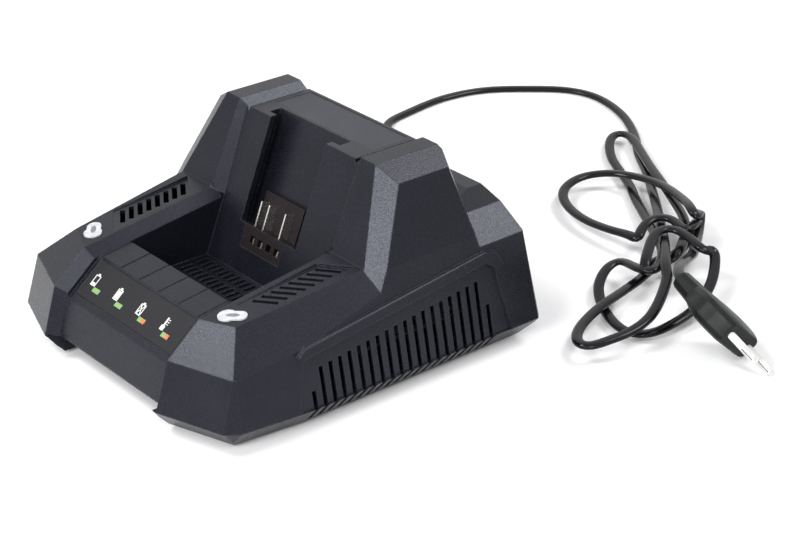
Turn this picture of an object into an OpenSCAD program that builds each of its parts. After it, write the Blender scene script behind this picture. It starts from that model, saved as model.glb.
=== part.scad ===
// Power tool battery charger: a wedge housing with two arms beside a sloping
// battery bay, a raised tower behind it, vented sides and a flat mains lead
// put up as a hank. Millimetres, +Z up, the battery slides in from above and
// in front (-Y). The origin is at the bottom centre of the housing.

/* [Housing] */
// Overall width at the parting line
body_w = 178; // [160:1:200]
// Depth from the arm fronts to the rear wall
body_d = 191; // [180:1:205]
// Height of the ear tops above the surface
body_h = 101; // [96:1:110]
// Height of the parting line between the two shells
parting_z = 12; // [10:0.5:14]
// Wall thickness of both shells
wall = 2.5; // [2:0.1:3]
// Height of an arm's top at its front edge
arm_front_h = 50; // [47:0.5:53]
// Rise of the arm tops towards the rear, in degrees
arm_rise = 7.7; // [6:0.1:9]

/* [Battery bay] */
// Width between the outer edges of the bay's chamfered lips
bay_lip_w = 92; // [88:1:94]
// Width between the bay's walls
bay_w = 82; // [78:1:84]
// Height of the bay floor
bay_floor_z = 28; // [26:0.5:32]
// Lean of the bay's back panels, in degrees
panel_lean = 22; // [18:0.5:26]
// Left edge of the rail channel's mouth
channel_left = -24; // [-28:0.5:-20]
// Right edge of the rail channel's mouth
channel_right = 18.5; // [16:0.5:24]
// Depth of the rail channel behind the panels
channel_depth = 9.5; // [8:0.5:11]
// How far the rail grooves reach behind the panels on each side
groove_reach = 5.5; // [3:0.5:7]
// Thickness of the panels in front of the grooves
groove_lip = 3.2; // [2:0.2:4]

/* [Vents] */
// Number of slots in each arm's top
arm_slots = 8; // [4:1:9]
// Spacing of the arm slots
arm_slot_pitch = 5; // [4.5:0.1:5.5]
// Width of an arm slot
arm_slot_w = 2.4; // [1.5:0.1:3]
// Number of slots in each side
side_slots = 20; // [12:1:20]
// Spacing of the side slots
side_slot_pitch = 5.44; // [4.8:0.01:5.5]
// Width of a side slot
side_slot_w = 2.3; // [2:0.1:3.6]

/* [Label] */
// Width of the label panel
label_w = 76; // [70:1:80]
// Length of the label panel down the slope
label_l = 20; // [16:0.5:20]
// Thickness of the label panel
label_t = 0.8; // [0.6:0.1:1.2]
// Width of a status window
window_w = 5; // [4:0.1:6]
// Height of a status window
window_h = 2.4; // [1.6:0.1:3]
// Spacing of the status windows
window_pitch = 18.7; // [16:0.1:20]

/* [Terminals] */
// Width of the terminal block
block_w = 29.6; // [28:0.2:34]
// Height of the block's lower ledge along the panel
block_h = 11.4; // [10:0.2:13]
// Thickness of a power blade
blade_t = 0.8; // [0.6:0.1:1.2]
// Width of a power blade
blade_w = 5; // [4:0.2:6]
// How far a power blade stands above the ledge
blade_h = 12.5; // [10:0.5:14]

/* [Fan] */
// Side of the square fan frame
fan_size = 40; // [35:1:40]
// Thickness of the fan frame
fan_t = 10; // [10:0.5:12]
// Diameter of the fan's shaft
fan_shaft_d = 3; // [2:0.1:4]
// Radial play of the shaft in its bore
fan_play = 0.05; // [0.02:0.01:0.09]
// Number of fan blades
fan_blades = 7; // [5:1:9]

/* [Electronics] */
// Width of the main board
board_w = 132; // [120:1:136]
// Depth of the main board
board_d = 84; // [76:1:86]
// Thickness of both circuit boards
board_t = 1.6; // [1.2:0.1:2]
// Height of the main board's underside
board_z = 15; // [14:0.5:17]
// Diameter of the mains capacitor
capacitor_d = 22; // [18:1:25]
// Height of the mains capacitor
capacitor_h = 30; // [25:1:34]

/* [Fasteners] */
// Diameter of the housing and board screws
screw_d = 3; // [2.5:0.1:4]
// Diameter of the screw heads
screw_head_d = 6; // [5:0.1:7]
// Height of the screw heads
screw_head_h = 2.2; // [1.8:0.1:3]

/* [Feet] */
// Diameter of a rubber foot
foot_d = 14; // [10:0.5:16]
// Height of a rubber foot
foot_h = 3; // [2.6:0.1:4]
// Gap under the bottom shell that the feet leave
foot_gap = 2; // [1.5:0.1:3]

/* [Mains lead] */
// Width of the flat twin lead
lead_w = 5.4; // [5:0.1:6]
// Thickness of the flat twin lead
lead_t = 3.2; // [3:0.1:3.6]
// Length of the strain relief outside the housing
relief_l = 26; // [20:1:40]
// Diameter of the strain relief at the housing
relief_d = 10; // [9:0.5:12]

/* [Plug] */
// Length of the plug's body
plug_l = 36; // [32:1:40]
// Width of the plug's body at its widest
plug_w = 35.3; // [33:0.1:37]
// Thickness of the plug's body
plug_t = 13.7; // [12:0.1:15]
// Diameter of a plug pin
pin_d = 4; // [3.9:0.05:4.1]
// Length of a plug pin outside the body
pin_l = 19; // [18:0.5:20]
// Distance between the plug pins
pin_gap = 18.6; // [17.5:0.1:19]
// Length of the sleeve on a plug pin
sleeve_l = 10; // [9:0.5:11]

/* [Hidden] */

$fn = 48;
big = 400;
eps = 0.02;
fit = 0.15;

// Colours
charcoal = [0.14, 0.14, 0.16];
slate = [0.3, 0.31, 0.34];
brown = [0.2, 0.13, 0.1];
metal = [0.75, 0.75, 0.78];
clear_white = [0.85, 0.85, 0.9];
board_green = [0.1, 0.35, 0.2];
rubber = [0.08, 0.08, 0.08];

// Housing outline
half_w = body_w / 2;
front_y = -body_d / 2;
rear_y = body_d / 2;
side_lean = 0.21;
rise = tan(arm_rise);
arm_front_y = front_y + 24.6;
front_rise = 0.91 / 0.28;
facet_rise = 0.627 / 0.752;
block_crease_y = (front_y + (arm_front_h - facet_rise * arm_front_y - parting_z) / front_rise)
    / (1 - facet_rise / front_rise);
block_crease_z = parting_z + (block_crease_y - front_y) * front_rise;
lip_x = bay_lip_w / 2;
bay_x = bay_w / 2;
lip_drop = 4.5;
lip_shift = 0.2;
deck_rise = 20.4;

// Tower outline
ear_front_y = 20.5;
ear_rear_y = 57;
ear_slope = 0.449;
ear_top_x = half_w - 32.7;
ear_side_x = half_w - 21;
ear_side_drop = 6.5;
ear_side_lean = 0.32;
tower_rear_lean = 0.22;
shoulder_z = body_h - 3;
ear_foot_y = (ear_front_y - ear_slope * (body_h - arm_front_h + rise * arm_front_y)) / (1 - ear_slope * rise);
ear_foot = [ear_foot_y, arm_front_h + rise * (ear_foot_y - arm_front_y)];

// Bay outline, front to rear
nose_y = front_y + 5.7;
nose_crease = [front_y + 10.9, arm_front_h - 19.9];
label_top = [front_y + 29.5, arm_front_h - 4.4];
bridge_front = [front_y + 29.8, arm_front_h - 3.4];
bridge_rear = [front_y + 46, arm_front_h - 1.2];
lean = tan(panel_lean);
panel_foot = [-5.9, bay_floor_z];
panel_top_y = panel_foot[0] + (shoulder_z - bay_floor_z) * lean;
panel_len = (shoulder_z - bay_floor_z) / cos(panel_lean);
label_slope = atan2(label_top[1] - nose_crease[1], label_top[0] - nose_crease[0]);

// Top plate pocket
plate_w = 73;
plate_front_y = panel_top_y + channel_depth / cos(panel_lean) + 2.6;
plate_rear_y = ear_rear_y - 1.4;
plate_t = 1.2;
plate_rim = 2.4;

// Terminal block, in the panel's own frame
block_x = -4.5;
block_z = 12.2;
block_back_h = 28.5;
block_back_t = 3;
hole_pitch = 6.2;
hole_side = 3.6;
blade_x = [-14.8, -8.8, 3.8];
contact_holes = [0, 1, 3];

// Screws and bosses
boss_d = 9;
boss_x = half_w - 23;
boss_front_y = front_y + 44;
boss_rear_y = rear_y - 14;
boss_places = [
    [-boss_x, boss_front_y], [boss_x, boss_front_y],
    [-boss_x, boss_rear_y], [boss_x, boss_rear_y],
];
head_seat_z = foot_gap + 4;
housing_screw_l = 16;
board_screw_l = 8;

// Main board
board_y = 44;
board_front_y = board_y - board_d / 2;
board_top_z = board_z + board_t;
board_post_d = 7;
board_post_x = board_w / 2 - 6;
board_posts = [
    [-board_post_x, board_front_y + 6], [board_post_x, board_front_y + 6],
    [-board_post_x, board_y + 16], [board_post_x, board_y + 16],
];

// Fan
fan_x = half_w - 34;
fan_y = 36;
fan_z = board_top_z + fan_size / 2;
fan_bore_d = fan_size - 2.4;
fan_hub_d = 17;
fan_base_t = 2.5;
fan_tip_gap = 0.8;

// Status window places, in the label's own frame
window_y = -14.4;
led_board_drop = 7;
led_board_w = 72;
led_board_d = 14;
led_board_y = -18;
led_h = 1.6;

// Feet
foot_x = half_w - 27;
foot_front_y = front_y + 25;
foot_rear_y = rear_y - 32;
foot_places = [
    [-foot_x, foot_front_y], [foot_x, foot_front_y],
    [-foot_x, foot_rear_y], [foot_x, foot_rear_y],
];

// Mains lead: exit, then the free stretch on the surface
exit_x = -22;
exit_z = 19;
relief_end_y = rear_y + relief_l;
inner_lead_l = 26;
lead_joint = 2;
core_l = 14;
core_side = 2;
core_gap = 1.5;

// Removes all that lies beyond the plane through p with outward direction n,
// the plane being moved inwards by o.
module shave(p, n, o = 0) {
    u = n / norm(n);
    translate(p - u * o)
        rotate([0, acos(u[2]), atan2(u[1], u[0])])
            translate([-big / 2, -big / 2, 0])
                cube([big, big, big]);
}

// Both sides of the housing
module both_sides() {
    for (s = [0, 1])
        mirror([s, 0, 0])
            children();
}

// A profile in Y and Z drawn out along X between two places
module along_x(x0, x1) {
    translate([x0, 0, 0])
        rotate([90, 0, 90])
            linear_extrude(x1 - x0)
                children();
}

// The frame of the bay's back panels: Z runs up the panel, Y into it
module on_panel() {
    translate([0, panel_foot[0], panel_foot[1]])
        rotate([-panel_lean, 0, 0])
            children();
}

// The frame of the label: Y runs up the slope, Z out of it
module on_label() {
    translate([0, label_top[0], label_top[1]])
        rotate([label_slope, 0, 0])
            children();
}

// Arms and rear body, inset by o
module main_body(o) {
    difference() {
        translate([-big / 2, -big / 2, parting_z - (o > 0 ? 1 : 0)])
            cube([big, big, 90]);
        both_sides() {
            shave([half_w, 0, parting_z], [1, 0, side_lean], o);
            shave([half_w - 19, 0.7, arm_front_h + rise * (0.7 - arm_front_y)], [0.62, -0.16, 0.77], o);
            shave([lip_x, arm_front_y, arm_front_h], [0.205, -0.627, 0.752], o);
            shave([lip_x, front_y, parting_z], [0.3, -0.91, 0.28], o);
            shave([half_w - 6.5, front_y + 14.3, parting_z], [0.82, -0.54, 0.2], o);
            shave([half_w - 2.6, front_y + 31, parting_z], [0.97, -0.1, 0.2], o);
            shave([half_w - 39, 0, arm_front_h + 21], [0.316, 0, 0.949], o);
            shave([half_w - 24, 0, arm_front_h + 16], [0.578, 0, 0.816], o);
            shave([half_w - 1, rear_y - 1.4, parting_z], [0.7, 0.7, 0.2], o);
        }
        shave([0, arm_front_y, arm_front_h], [0, -rise, 1], o);
        shave([0, 0, arm_front_h + deck_rise], [0, 0, 1], o);
        shave([0, rear_y, parting_z], [0, 1, 0.12], o);
        shave([0, front_y, parting_z], [0, -1, 0.3], o);
    }
}

// The tower with its two ears, inset by o
module tower(o) {
    difference() {
        translate([-big / 2, -big / 2, parting_z - (o > 0 ? 1 : 0)])
            cube([big, big, body_h - o - parting_z + (o > 0 ? 1 : 0)]);
        both_sides() {
            shave([ear_top_x, 0, body_h], [ear_side_drop, 0, ear_side_x - ear_top_x], o);
            shave([ear_side_x, 0, body_h - ear_side_drop], [1, 0, ear_side_lean], o);
            shave([half_w, 0, parting_z], [1, 0, side_lean], o);
            shave([ear_top_x, ear_front_y, body_h], [0.513, -0.701, 0.494], o);
            shave([ear_top_x + 2.5, ear_rear_y, body_h], [0.535, 0.77, 0.347], o);
        }
        shave([0, ear_front_y, body_h], [0, -1, ear_slope], o);
        shave([0, ear_rear_y, body_h], [0, 1, tower_rear_lean], o);
    }
}

// The whole upper form, inset by o
module upper_form(o) {
    main_body(o);
    tower(o);
}

// The bay's side profile, grown by g
module bay_profile(g) {
    polygon([
        [-big / 2, -20], [nose_y + g, -20], [nose_y + g, parting_z],
        [nose_crease[0] + g, nose_crease[1] - g / 3],
        [label_top[0] + g / 3, label_top[1] - g],
        [bridge_front[0], bridge_front[1] - g],
        [bridge_rear[0] - g, bridge_rear[1] - g],
        [bridge_rear[0] - g, bay_floor_z - g],
        [panel_foot[0] + g, bay_floor_z - g],
        [panel_top_y + g, shoulder_z - g],
        [big / 2, shoulder_z - g],
        [big / 2, big / 2], [-big / 2, big / 2],
    ]);
}

// The rail channel with its undercut grooves, grown by g
module rail_channel(g) {
    on_panel() {
        translate([block_x - block_w / 2 - fit - g, -5, block_z - g])
            cube([block_w + 2 * fit + 2 * g, channel_depth + 5 + g, panel_len]);
        translate([channel_left - g, -5, block_z + block_h - g])
            cube([channel_right - channel_left + 2 * g, channel_depth + 5 + g, panel_len]);
        translate([channel_left - groove_reach - g, groove_lip - g, block_z + block_h - g])
            cube([
                channel_right - channel_left + 2 * groove_reach + 2 * g,
                channel_depth - groove_lip + 2 * g,
                panel_len,
            ]);
    }
}

// A chamfer cut along the bay's lip between two places in Y and Z, grown by g
module lip_cut(from, to, g, extra = 1) {
    step = to - from;
    width = lip_x - bay_x;
    outward = [lip_drop, -width] / norm([lip_drop, width]);
    both_sides()
        translate([0, from[0], from[1]])
            rotate([atan2(step[1], step[0]), 0, 0])
                translate([0, norm(step) + extra + g, 0])
                    rotate([90, 0, 0])
                        linear_extrude(norm(step) + 2 * extra + 2 * g)
                            translate(outward * g + [lip_shift, 0])
                                polygon([
                                    [lip_x + 4 * width / lip_drop, 4],
                                    [bay_x - 1 - g, 4],
                                    [bay_x - 1 - g, -lip_drop - lip_drop / width * (1 + g)],
                                ]);
}

// All the chamfers along the bay's lips, grown by g
module lips(g) {
    lip_cut([front_y, parting_z], [block_crease_y, block_crease_z], g);
    lip_cut([block_crease_y, block_crease_z], [arm_front_y, arm_front_h], g);
    lip_cut([arm_front_y, arm_front_h], ear_foot, g);
    difference() {
        lip_cut(ear_foot, [ear_front_y, body_h], g);
        on_panel()
            translate([-lip_x - 10, 0, -20])
                cube([2 * lip_x + 20, big, big]);
    }
    lip_cut([ear_front_y, body_h], [ear_rear_y, body_h], g, 4);
}

// All that the bay takes out of the housing, grown by g
module bay(g) {
    along_x(-bay_x - g, bay_x + g)
        bay_profile(g);
    rail_channel(g);
}

arm_slot_l = 12.2;

// Parallel slots through an arm's top
module arm_slot_cuts() {
    both_sides()
        for (i = [0 : arm_slots - 1])
            translate([half_w - 32, arm_front_y + 28.5 + i * arm_slot_pitch, arm_front_h])
                rotate([0, 0, 33])
                    translate([-arm_slot_l / 2, -arm_slot_w / 2, -12])
                        cube([arm_slot_l, arm_slot_w, 40]);
}

field_y = 18;
field_dip = 0.3;
field_tilt = 1.1;

// The shallow field round the arm slots, a little deeper towards the rear
module arm_field_cut() {
    both_sides()
        translate([half_w, arm_front_y, arm_front_h])
            rotate([arm_rise, 0, 0])
                translate([0, field_y, -field_dip])
                    rotate([-field_tilt, 0, 0])
                        linear_extrude(20)
                            polygon([[-39.5, 0], [-24.5, 10], [-24.5, 54], [-39.5, 45]]);
}

side_slot_y0 = -39;
first_slot_drop = 9;
last_slot_drop = 13;

// Height of a side slot's top, the end slots being shorter
function slot_top(i) = arm_front_h - 21 + (side_slot_y0 + i * side_slot_pitch + 38) * 0.11
    - (i == 0 ? first_slot_drop : i == side_slots - 1 ? last_slot_drop : 0);

// Slots through both sides, above the parting line or in the lower shell
module side_slot_cuts(z0, upper) {
    for (i = [0 : side_slots - 1]) {
        y = side_slot_y0 + i * side_slot_pitch;
        top = upper ? slot_top(i) : parting_z + 1;
        translate([-big / 2, y - side_slot_w / 2, z0])
            cube([big, side_slot_w, top - z0]);
    }
}

// The region outside x, used to keep the side slots in the side walls
module outside(x) {
    both_sides()
        translate([x, -big / 2, -10])
            cube([big, big, big]);
}

// The recessed field of the side vents
module side_field_cut() {
    both_sides()
        intersection() {
            along_x(half_w - 29, half_w + 31)
                polygon([
                    [side_slot_y0 - 9, parting_z - 1], [side_slot_y0 - 3, arm_front_h - 13.2],
                    [64, arm_front_h - 2], [70, arm_front_h - 6], [71, arm_front_h - 14],
                    [76.5, parting_z - 1],
                ]);
            shave([half_w - 1.2, 0, parting_z], [1, 0, side_lean]);
        }
}

brow_out = 2;

// The ridge above the side vents
module side_brow() {
    both_sides()
        difference() {
            along_x(half_w - 15, half_w + 11)
                polygon([
                    [side_slot_y0 - 7, arm_front_h - 12], [side_slot_y0 - 2, arm_front_h - 8.5],
                    [64, arm_front_h + 3.2], [71, arm_front_h + 1.5],
                    [74.5, arm_front_h - 5], [71, arm_front_h - 7], [62.5, arm_front_h - 2],
                    [side_slot_y0 - 4.5, arm_front_h - 14],
                ]);
            shave([half_w + brow_out, 0, parting_z], [1, 0, side_lean]);
            shave([half_w - 5.2, side_slot_y0 - 2, arm_front_h - 8.5], [0.5, -0.086, 0.85]);
        }
}

// Screw bosses of the upper shell, kept inside its walls
module upper_bosses() {
    intersection() {
        for (p = boss_places)
            translate([p[0], p[1], parting_z])
                cylinder(d = boss_d, h = 60);
        upper_form(wall / 2);
    }
}

lens_t = 2.2;
lens_rise = 0.6;

// Body of a lens, grown by g; the lamp lenses lie on the arm tops
module lens_shape(g, depth) {
    translate([half_w - 33, 0, 0])
        rotate([0, 0, 40]) {
            translate([-2.6, 0, -depth])
                cylinder(r = 4.4 + g, h = depth + (g > 0 ? 5 : 0));
            translate([3.2, 0, -depth])
                cylinder(r = 3.4 + g, h = depth + (g > 0 ? 5 : 0));
            translate([-2.6, -3.4 - g, -depth])
                cube([5.8, 6.8 + 2 * g, depth + (g > 0 ? 5 : 0)]);
        }
}

// Places lenses in the frame of the arm tops
module on_arm_front() {
    translate([0, arm_front_y, arm_front_h])
        rotate([arm_rise, 0, 0])
            translate([0, 11.6, lens_rise])
                children();
}

// The round hole for the cord gland
module gland_hole(g) {
    translate([exit_x, rear_y - 12, exit_z])
        rotate([-90, 0, 0])
            cylinder(d = relief_d + 2 * g, h = 40);
}

// Upper shell: arms, tower, bay, vents
module top_housing() {
    color(charcoal)
        difference() {
            union() {
                difference() {
                    union() {
                        upper_form(0);
                        side_brow();
                    }
                    difference() {
                        upper_form(wall);
                        bay(wall);
                        lips(wall);
                    }
                    side_field_cut();
                }
                upper_bosses();
                led_board_bosses();
            }
            bay(0);
            lips(0);
            arm_field_cut();
            intersection() {
                arm_slot_cuts();
                upper_form(-1);
            }
            intersection() {
                side_slot_cuts(parting_z - 1, true);
                outside(half_w - 15);
            }
            for (p = boss_places)
                translate([p[0], p[1], parting_z - 1])
                    cylinder(d = screw_d, h = housing_screw_l);
            both_sides()
                on_arm_front()
                    lens_shape(fit, lens_t);
            label_pocket();
            window_cuts(wall + 4);
            bridge_grooves();
            floor_vents();
            plate_pocket();
            terminal_opening();
            led_board_holes();
            gland_hole(0);
        }
}

// Pocket that the label panel lies in
module label_pocket() {
    on_label()
        translate([-label_w / 2 - fit, -label_l - fit, -label_t])
            cube([label_w + 2 * fit, label_l - 0.6 + 2 * fit, 8]);
}

// Openings for the four status windows, cut to a depth below the label
module window_cuts(depth) {
    on_label()
        for (i = [0 : 3])
            translate([(i - 1.5) * window_pitch, window_y, -depth])
                translate([-window_w / 2 - fit, -window_h / 2 - fit, 0])
                    cube([window_w + 2 * fit, window_h + 2 * fit, depth + 2]);
}

// Six fine grooves across the bridge behind the label
module bridge_grooves() {
    for (i = [0 : 5])
        translate([(i - 2.5) * 15.5 - 0.5, bridge_front[0] - 1, 0])
            translate([0, 0, bridge_front[1] - 0.7])
                rotate([atan2(bridge_rear[1] - bridge_front[1], bridge_rear[0] - bridge_front[0]), 0, 0])
                    cube([1, 20, 4]);
}

floor_slots = 18;
floor_slot_pitch = 4.2;
floor_slot_l = 7.6;
floor_row_pitch = 9.8;

// Two rows of slots in the bay floor, in front of the panels
module floor_vents() {
    for (row = [0, 1])
        for (i = [0 : floor_slots - 1])
            translate([
                (i - (floor_slots - 1) / 2) * floor_slot_pitch - 1.1,
                panel_foot[0] - 2 - floor_slot_l - row * floor_row_pitch,
                bay_floor_z - wall - 1,
            ])
                cube([2.2, floor_slot_l, wall + 2]);
}

// Stepped pocket for the top plate
module plate_pocket() {
    translate([-plate_w / 2 - fit, plate_front_y - fit, shoulder_z - plate_t])
        cube([plate_w + 2 * fit, plate_rear_y - plate_front_y + 2 * fit, 10]);
    translate([-plate_w / 2 + plate_rim - fit, plate_front_y + plate_rim - fit, shoulder_z - wall - 1])
        cube([
            plate_w - 2 * plate_rim + 2 * fit,
            plate_rear_y - plate_front_y - 2 * plate_rim + 2 * fit,
            wall + 2,
        ]);
}

// Opening behind the terminal block, for its leads
module terminal_opening() {
    on_panel()
        translate([block_x - block_w / 2 + 4, channel_depth - 1, block_z + 1.5])
            cube([block_w - 8, wall + 4, block_back_h - 6]);
}

led_boss_x = 32;
led_boss_y = -9.5;

// Bosses under the label for the small board
module led_board_bosses() {
    on_label()
        for (s = [-1, 1])
            translate([s * led_boss_x, led_boss_y, -led_board_drop])
                cylinder(d = 5, h = led_board_drop - label_t);
}

// Screw holes in those bosses
module led_board_holes() {
    on_label()
        for (s = [-1, 1])
            translate([s * led_boss_x, led_boss_y, -led_board_drop - 1])
                cylinder(d = 2, h = 5);
}

// Lower form with its inward slopes, inset by o
module lower_form(o) {
    difference() {
        translate([-big / 2, -big / 2, foot_gap + o])
            cube([big, big, parting_z - foot_gap - o + (o > 0 ? 1 : 0)]);
        both_sides() {
            shave([half_w, 0, parting_z], [0.75, 0, -0.66], o);
            shave([lip_x, front_y, parting_z], [0.24, -0.7, -0.66], o);
            shave([half_w - 6.5, front_y + 14.3, parting_z], [0.66, -0.44, -0.6], o);
            shave([half_w - 2.6, front_y + 31, parting_z], [0.74, -0.08, -0.66], o);
            shave([half_w - 1, rear_y - 1.4, parting_z], [0.7, 0.7, -0.6], o);
        }
        shave([0, rear_y, parting_z], [0, 0.8, -0.6], o);
        shave([0, nose_y, parting_z], [0, -0.75, -0.66], o);
    }
}

// The two lower corners in front of the nose belong to the arm fronts
module lower_front(o) {
    both_sides()
        difference() {
            translate([lip_x - (lip_x - bay_x) * 0.6 + o, front_y - 10, foot_gap + o])
                cube([60, 60, parting_z - foot_gap - o + (o > 0 ? 1 : 0)]);
            shave([half_w, 0, parting_z], [0.75, 0, -0.66], o);
            shave([lip_x, front_y, parting_z], [0.24, -0.7, -0.66], o);
            shave([half_w - 6.5, front_y + 14.3, parting_z], [0.66, -0.44, -0.6], o);
            shave([half_w - 2.6, front_y + 31, parting_z], [0.74, -0.08, -0.66], o);
            shave([0, front_y, parting_z], [0, -0.8, -0.6], o);
        }
}

// Lower shell: tray, posts, feet pockets
module bottom_housing() {
    color(charcoal)
        difference() {
            union() {
                difference() {
                    union() {
                        lower_form(0);
                        lower_front(0);
                    }
                    union() {
                        lower_form(wall);
                        lower_front(wall);
                    }
                }
                for (p = boss_places)
                    translate([p[0], p[1], foot_gap + eps])
                        cylinder(d = boss_d + 2, h = parting_z - foot_gap - eps);
                for (p = board_posts)
                    translate([p[0], p[1], foot_gap + eps])
                        cylinder(d = board_post_d, h = board_z - foot_gap - eps);
                for (p = foot_places)
                    translate([p[0], p[1], foot_gap + eps])
                        cylinder(d = foot_d + 4, h = wall + 1.5);
                translate([exit_x - 13, rear_y - 24, foot_gap + eps])
                    cube([26, 12, exit_z - lead_t / 2 - foot_gap - eps]);
            }
            intersection() {
                side_slot_cuts(foot_gap + 2.4, false);
                outside(half_w - 17);
            }
            for (p = boss_places) {
                translate([p[0], p[1], -1])
                    cylinder(d = screw_head_d + 1, h = head_seat_z + 1);
                translate([p[0], p[1], 0])
                    cylinder(d = screw_d + 0.4, h = 30);
            }
            for (p = board_posts)
                translate([p[0], p[1], board_z - board_screw_l])
                    cylinder(d = screw_d, h = board_screw_l + 1);
            for (p = foot_places)
                translate([p[0], p[1], -1])
                    cylinder(d = foot_d, h = foot_h + 1);
            for (s = [-1, 1])
                translate([exit_x + s * 9, rear_y - 18, foot_gap + wall + 2])
                    cylinder(d = screw_d, h = 30);
            for (i = [0 : 8])
                translate([(i - 4) * 7, nose_y + 2, -1])
                    rotate([0, 0, -25])
                        cube([3, 14, foot_gap + wall + 2]);
        }
}

// Plain plate let into the top of the tower
module top_plate() {
    color(slate) {
        translate([-plate_w / 2, plate_front_y, shoulder_z - plate_t])
            cube([plate_w, plate_rear_y - plate_front_y, plate_t - 0.2]);
        translate([-plate_w / 2 + plate_rim, plate_front_y + plate_rim, shoulder_z - wall])
            cube([
                plate_w - 2 * plate_rim,
                plate_rear_y - plate_front_y - 2 * plate_rim,
                wall - 0.4,
            ]);
    }
}

// Printed panel on the front slope, with openings for the windows
module label_panel() {
    color(slate)
        difference() {
            on_label()
                translate([-label_w / 2, -label_l, -label_t])
                    cube([label_w, label_l - 0.6, label_t]);
            window_cuts(wall + 4);
        }
}

// Light pipe of status window number n
module status_window(n) {
    color(clear_white)
        on_label()
            translate([(n - 2.5) * window_pitch - window_w / 2, window_y - window_h / 2, -led_board_drop + led_h])
                cube([window_w, window_h, led_board_drop - led_h]);
}

module status_window_1() {
    status_window(1);
}

module status_window_2() {
    status_window(2);
}

module status_window_3() {
    status_window(3);
}

module status_window_4() {
    status_window(4);
}

// Small board under the label
module led_board() {
    color(board_green)
        on_label()
            difference() {
                translate([-led_board_w / 2, led_board_y, -led_board_drop - board_t])
                    cube([led_board_w, led_board_d, board_t]);
                for (s = [-1, 1])
                    translate([s * led_boss_x, led_boss_y, -led_board_drop - board_t - 1])
                        cylinder(d = 2.4, h = board_t + 2);
            }
}

// One light under each status window
module status_leds() {
    color(clear_white)
        on_label()
            for (i = [0 : 3])
                translate([(i - 1.5) * window_pitch - 1.6, window_y - 0.8, -led_board_drop])
                    cube([3.2, 1.6, led_h]);
}

// Screws of the small board
module led_board_screws() {
    color(metal)
        on_label()
            for (s = [-1, 1]) {
                translate([s * led_boss_x, led_boss_y, -led_board_drop - board_t])
                    cylinder(d = 2, h = board_t + 4);
                translate([s * led_boss_x, led_boss_y, -led_board_drop - board_t - 1.4])
                    cylinder(d = 4, h = 1.4);
            }
}

// Clear lens at the front of the left arm
module left_lens() {
    mirror([1, 0, 0])
        right_lens();
}

// Clear lens at the front of the right arm
module right_lens() {
    color(clear_white)
        on_arm_front()
            lens_shape(0, lens_t);
}

// Terminal block with a ledge for the contacts and a plate behind the blades
module terminal_block() {
    color(brown)
        on_panel()
            difference() {
                union() {
                    translate([block_x - block_w / 2, 0, block_z])
                        cube([block_w, channel_depth, block_h]);
                    translate([block_x - block_w / 2, channel_depth - block_back_t, block_z])
                        cube([block_w, block_back_t, block_back_h]);
                }
                for (x = blade_x)
                    translate([x - blade_t / 2, channel_depth - block_back_t - blade_w, block_z + 2])
                        cube([blade_t, blade_w, block_h]);
                for (i = [0 : 3])
                    translate([block_x + (i - 1.5) * hole_pitch - hole_side / 2 + 1.5, -1, block_z + 3.4])
                        cube([hole_side, 6, hole_side]);
            }
}

// Three power blades standing in the block
module power_blades() {
    color(metal)
        on_panel()
            for (x = blade_x)
                translate([x - blade_t / 2, channel_depth - block_back_t - blade_w, block_z + 2])
                    cube([blade_t, blade_w, block_h - 2 + blade_h]);
}

// Three spring contacts in the square holes of the ledge
module signal_contacts() {
    color(metal)
        on_panel()
            for (i = contact_holes)
                translate([block_x + (i - 1.5) * hole_pitch + 1.5 - 0.4, 1, block_z + 3.4])
                    cube([0.8, 4, 2.6]);
}

// Main circuit board
module main_board() {
    color(board_green)
        difference() {
            translate([-board_w / 2, board_front_y, board_z])
                cube([board_w, board_d, board_t]);
            for (p = board_posts)
                translate([p[0], p[1], board_z - 1])
                    cylinder(d = screw_d + 0.4, h = board_t + 2);
            translate([exit_x - 14, rear_y - 25, board_z - 1])
                cube([28, 40, board_t + 2]);
            for (p = [boss_places[2], boss_places[3]])
                translate([p[0], p[1], board_z - 1])
                    cylinder(d = boss_d + 3, h = board_t + 2);
        }
}

// Screws of the main board
module board_screws() {
    color(metal)
        for (p = board_posts) {
            translate([p[0], p[1], board_z - board_screw_l])
                cylinder(d = screw_d, h = board_screw_l + board_t);
            translate([p[0], p[1], board_top_z])
                cylinder(d = screw_head_d, h = screw_head_h);
        }
}

transformer_x = -22;
transformer_y = rear_y - 57.5;
core_w = 36;
core_d = 14;
core_h = 34;

// Ferrite core, a frame round the winding
module transformer_core() {
    color(slate)
        translate([transformer_x - core_w / 2, transformer_y - core_d / 2, board_top_z + 4])
            difference() {
                cube([core_w, core_d, core_h]);
                for (s = [0, 1])
                    translate([6 + s * 14, -1, 6])
                        cube([10, core_d + 2, core_h - 12]);
            }
}

// Bobbin and winding on the core's middle leg
module transformer_winding() {
    color([0.75, 0.6, 0.2])
        translate([transformer_x, transformer_y, board_top_z])
            difference() {
                union() {
                    translate([-8.5, -14, 10])
                        cube([17, 28, core_h - 12]);
                    for (s = [-1, 1])
                        translate([-11, s * 11 - 2.5, 0])
                            cube([22, 5, 10]);
                }
                translate([-2, -core_d / 2, 0])
                    cube([4, core_d, 60]);
            }
}

// Large capacitor on the mains side
module mains_capacitor() {
    color([0.15, 0.2, 0.4])
        translate([14, 40, board_top_z])
            cylinder(d = capacitor_d, h = capacitor_h);
}

// Two capacitors on the output side
module output_capacitors() {
    color([0.15, 0.2, 0.4])
        for (i = [0, 1])
            translate([34, 26 + i * 14, board_top_z])
                cylinder(d = 10, h = 20);
}

// Mains filter choke
module choke() {
    color([0.6, 0.35, 0.15])
        translate([-52, 40, board_top_z])
            difference() {
                cylinder(d = 22, h = 11);
                translate([0, 0, -1])
                    cylinder(d = 9, h = 13);
            }
}

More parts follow.
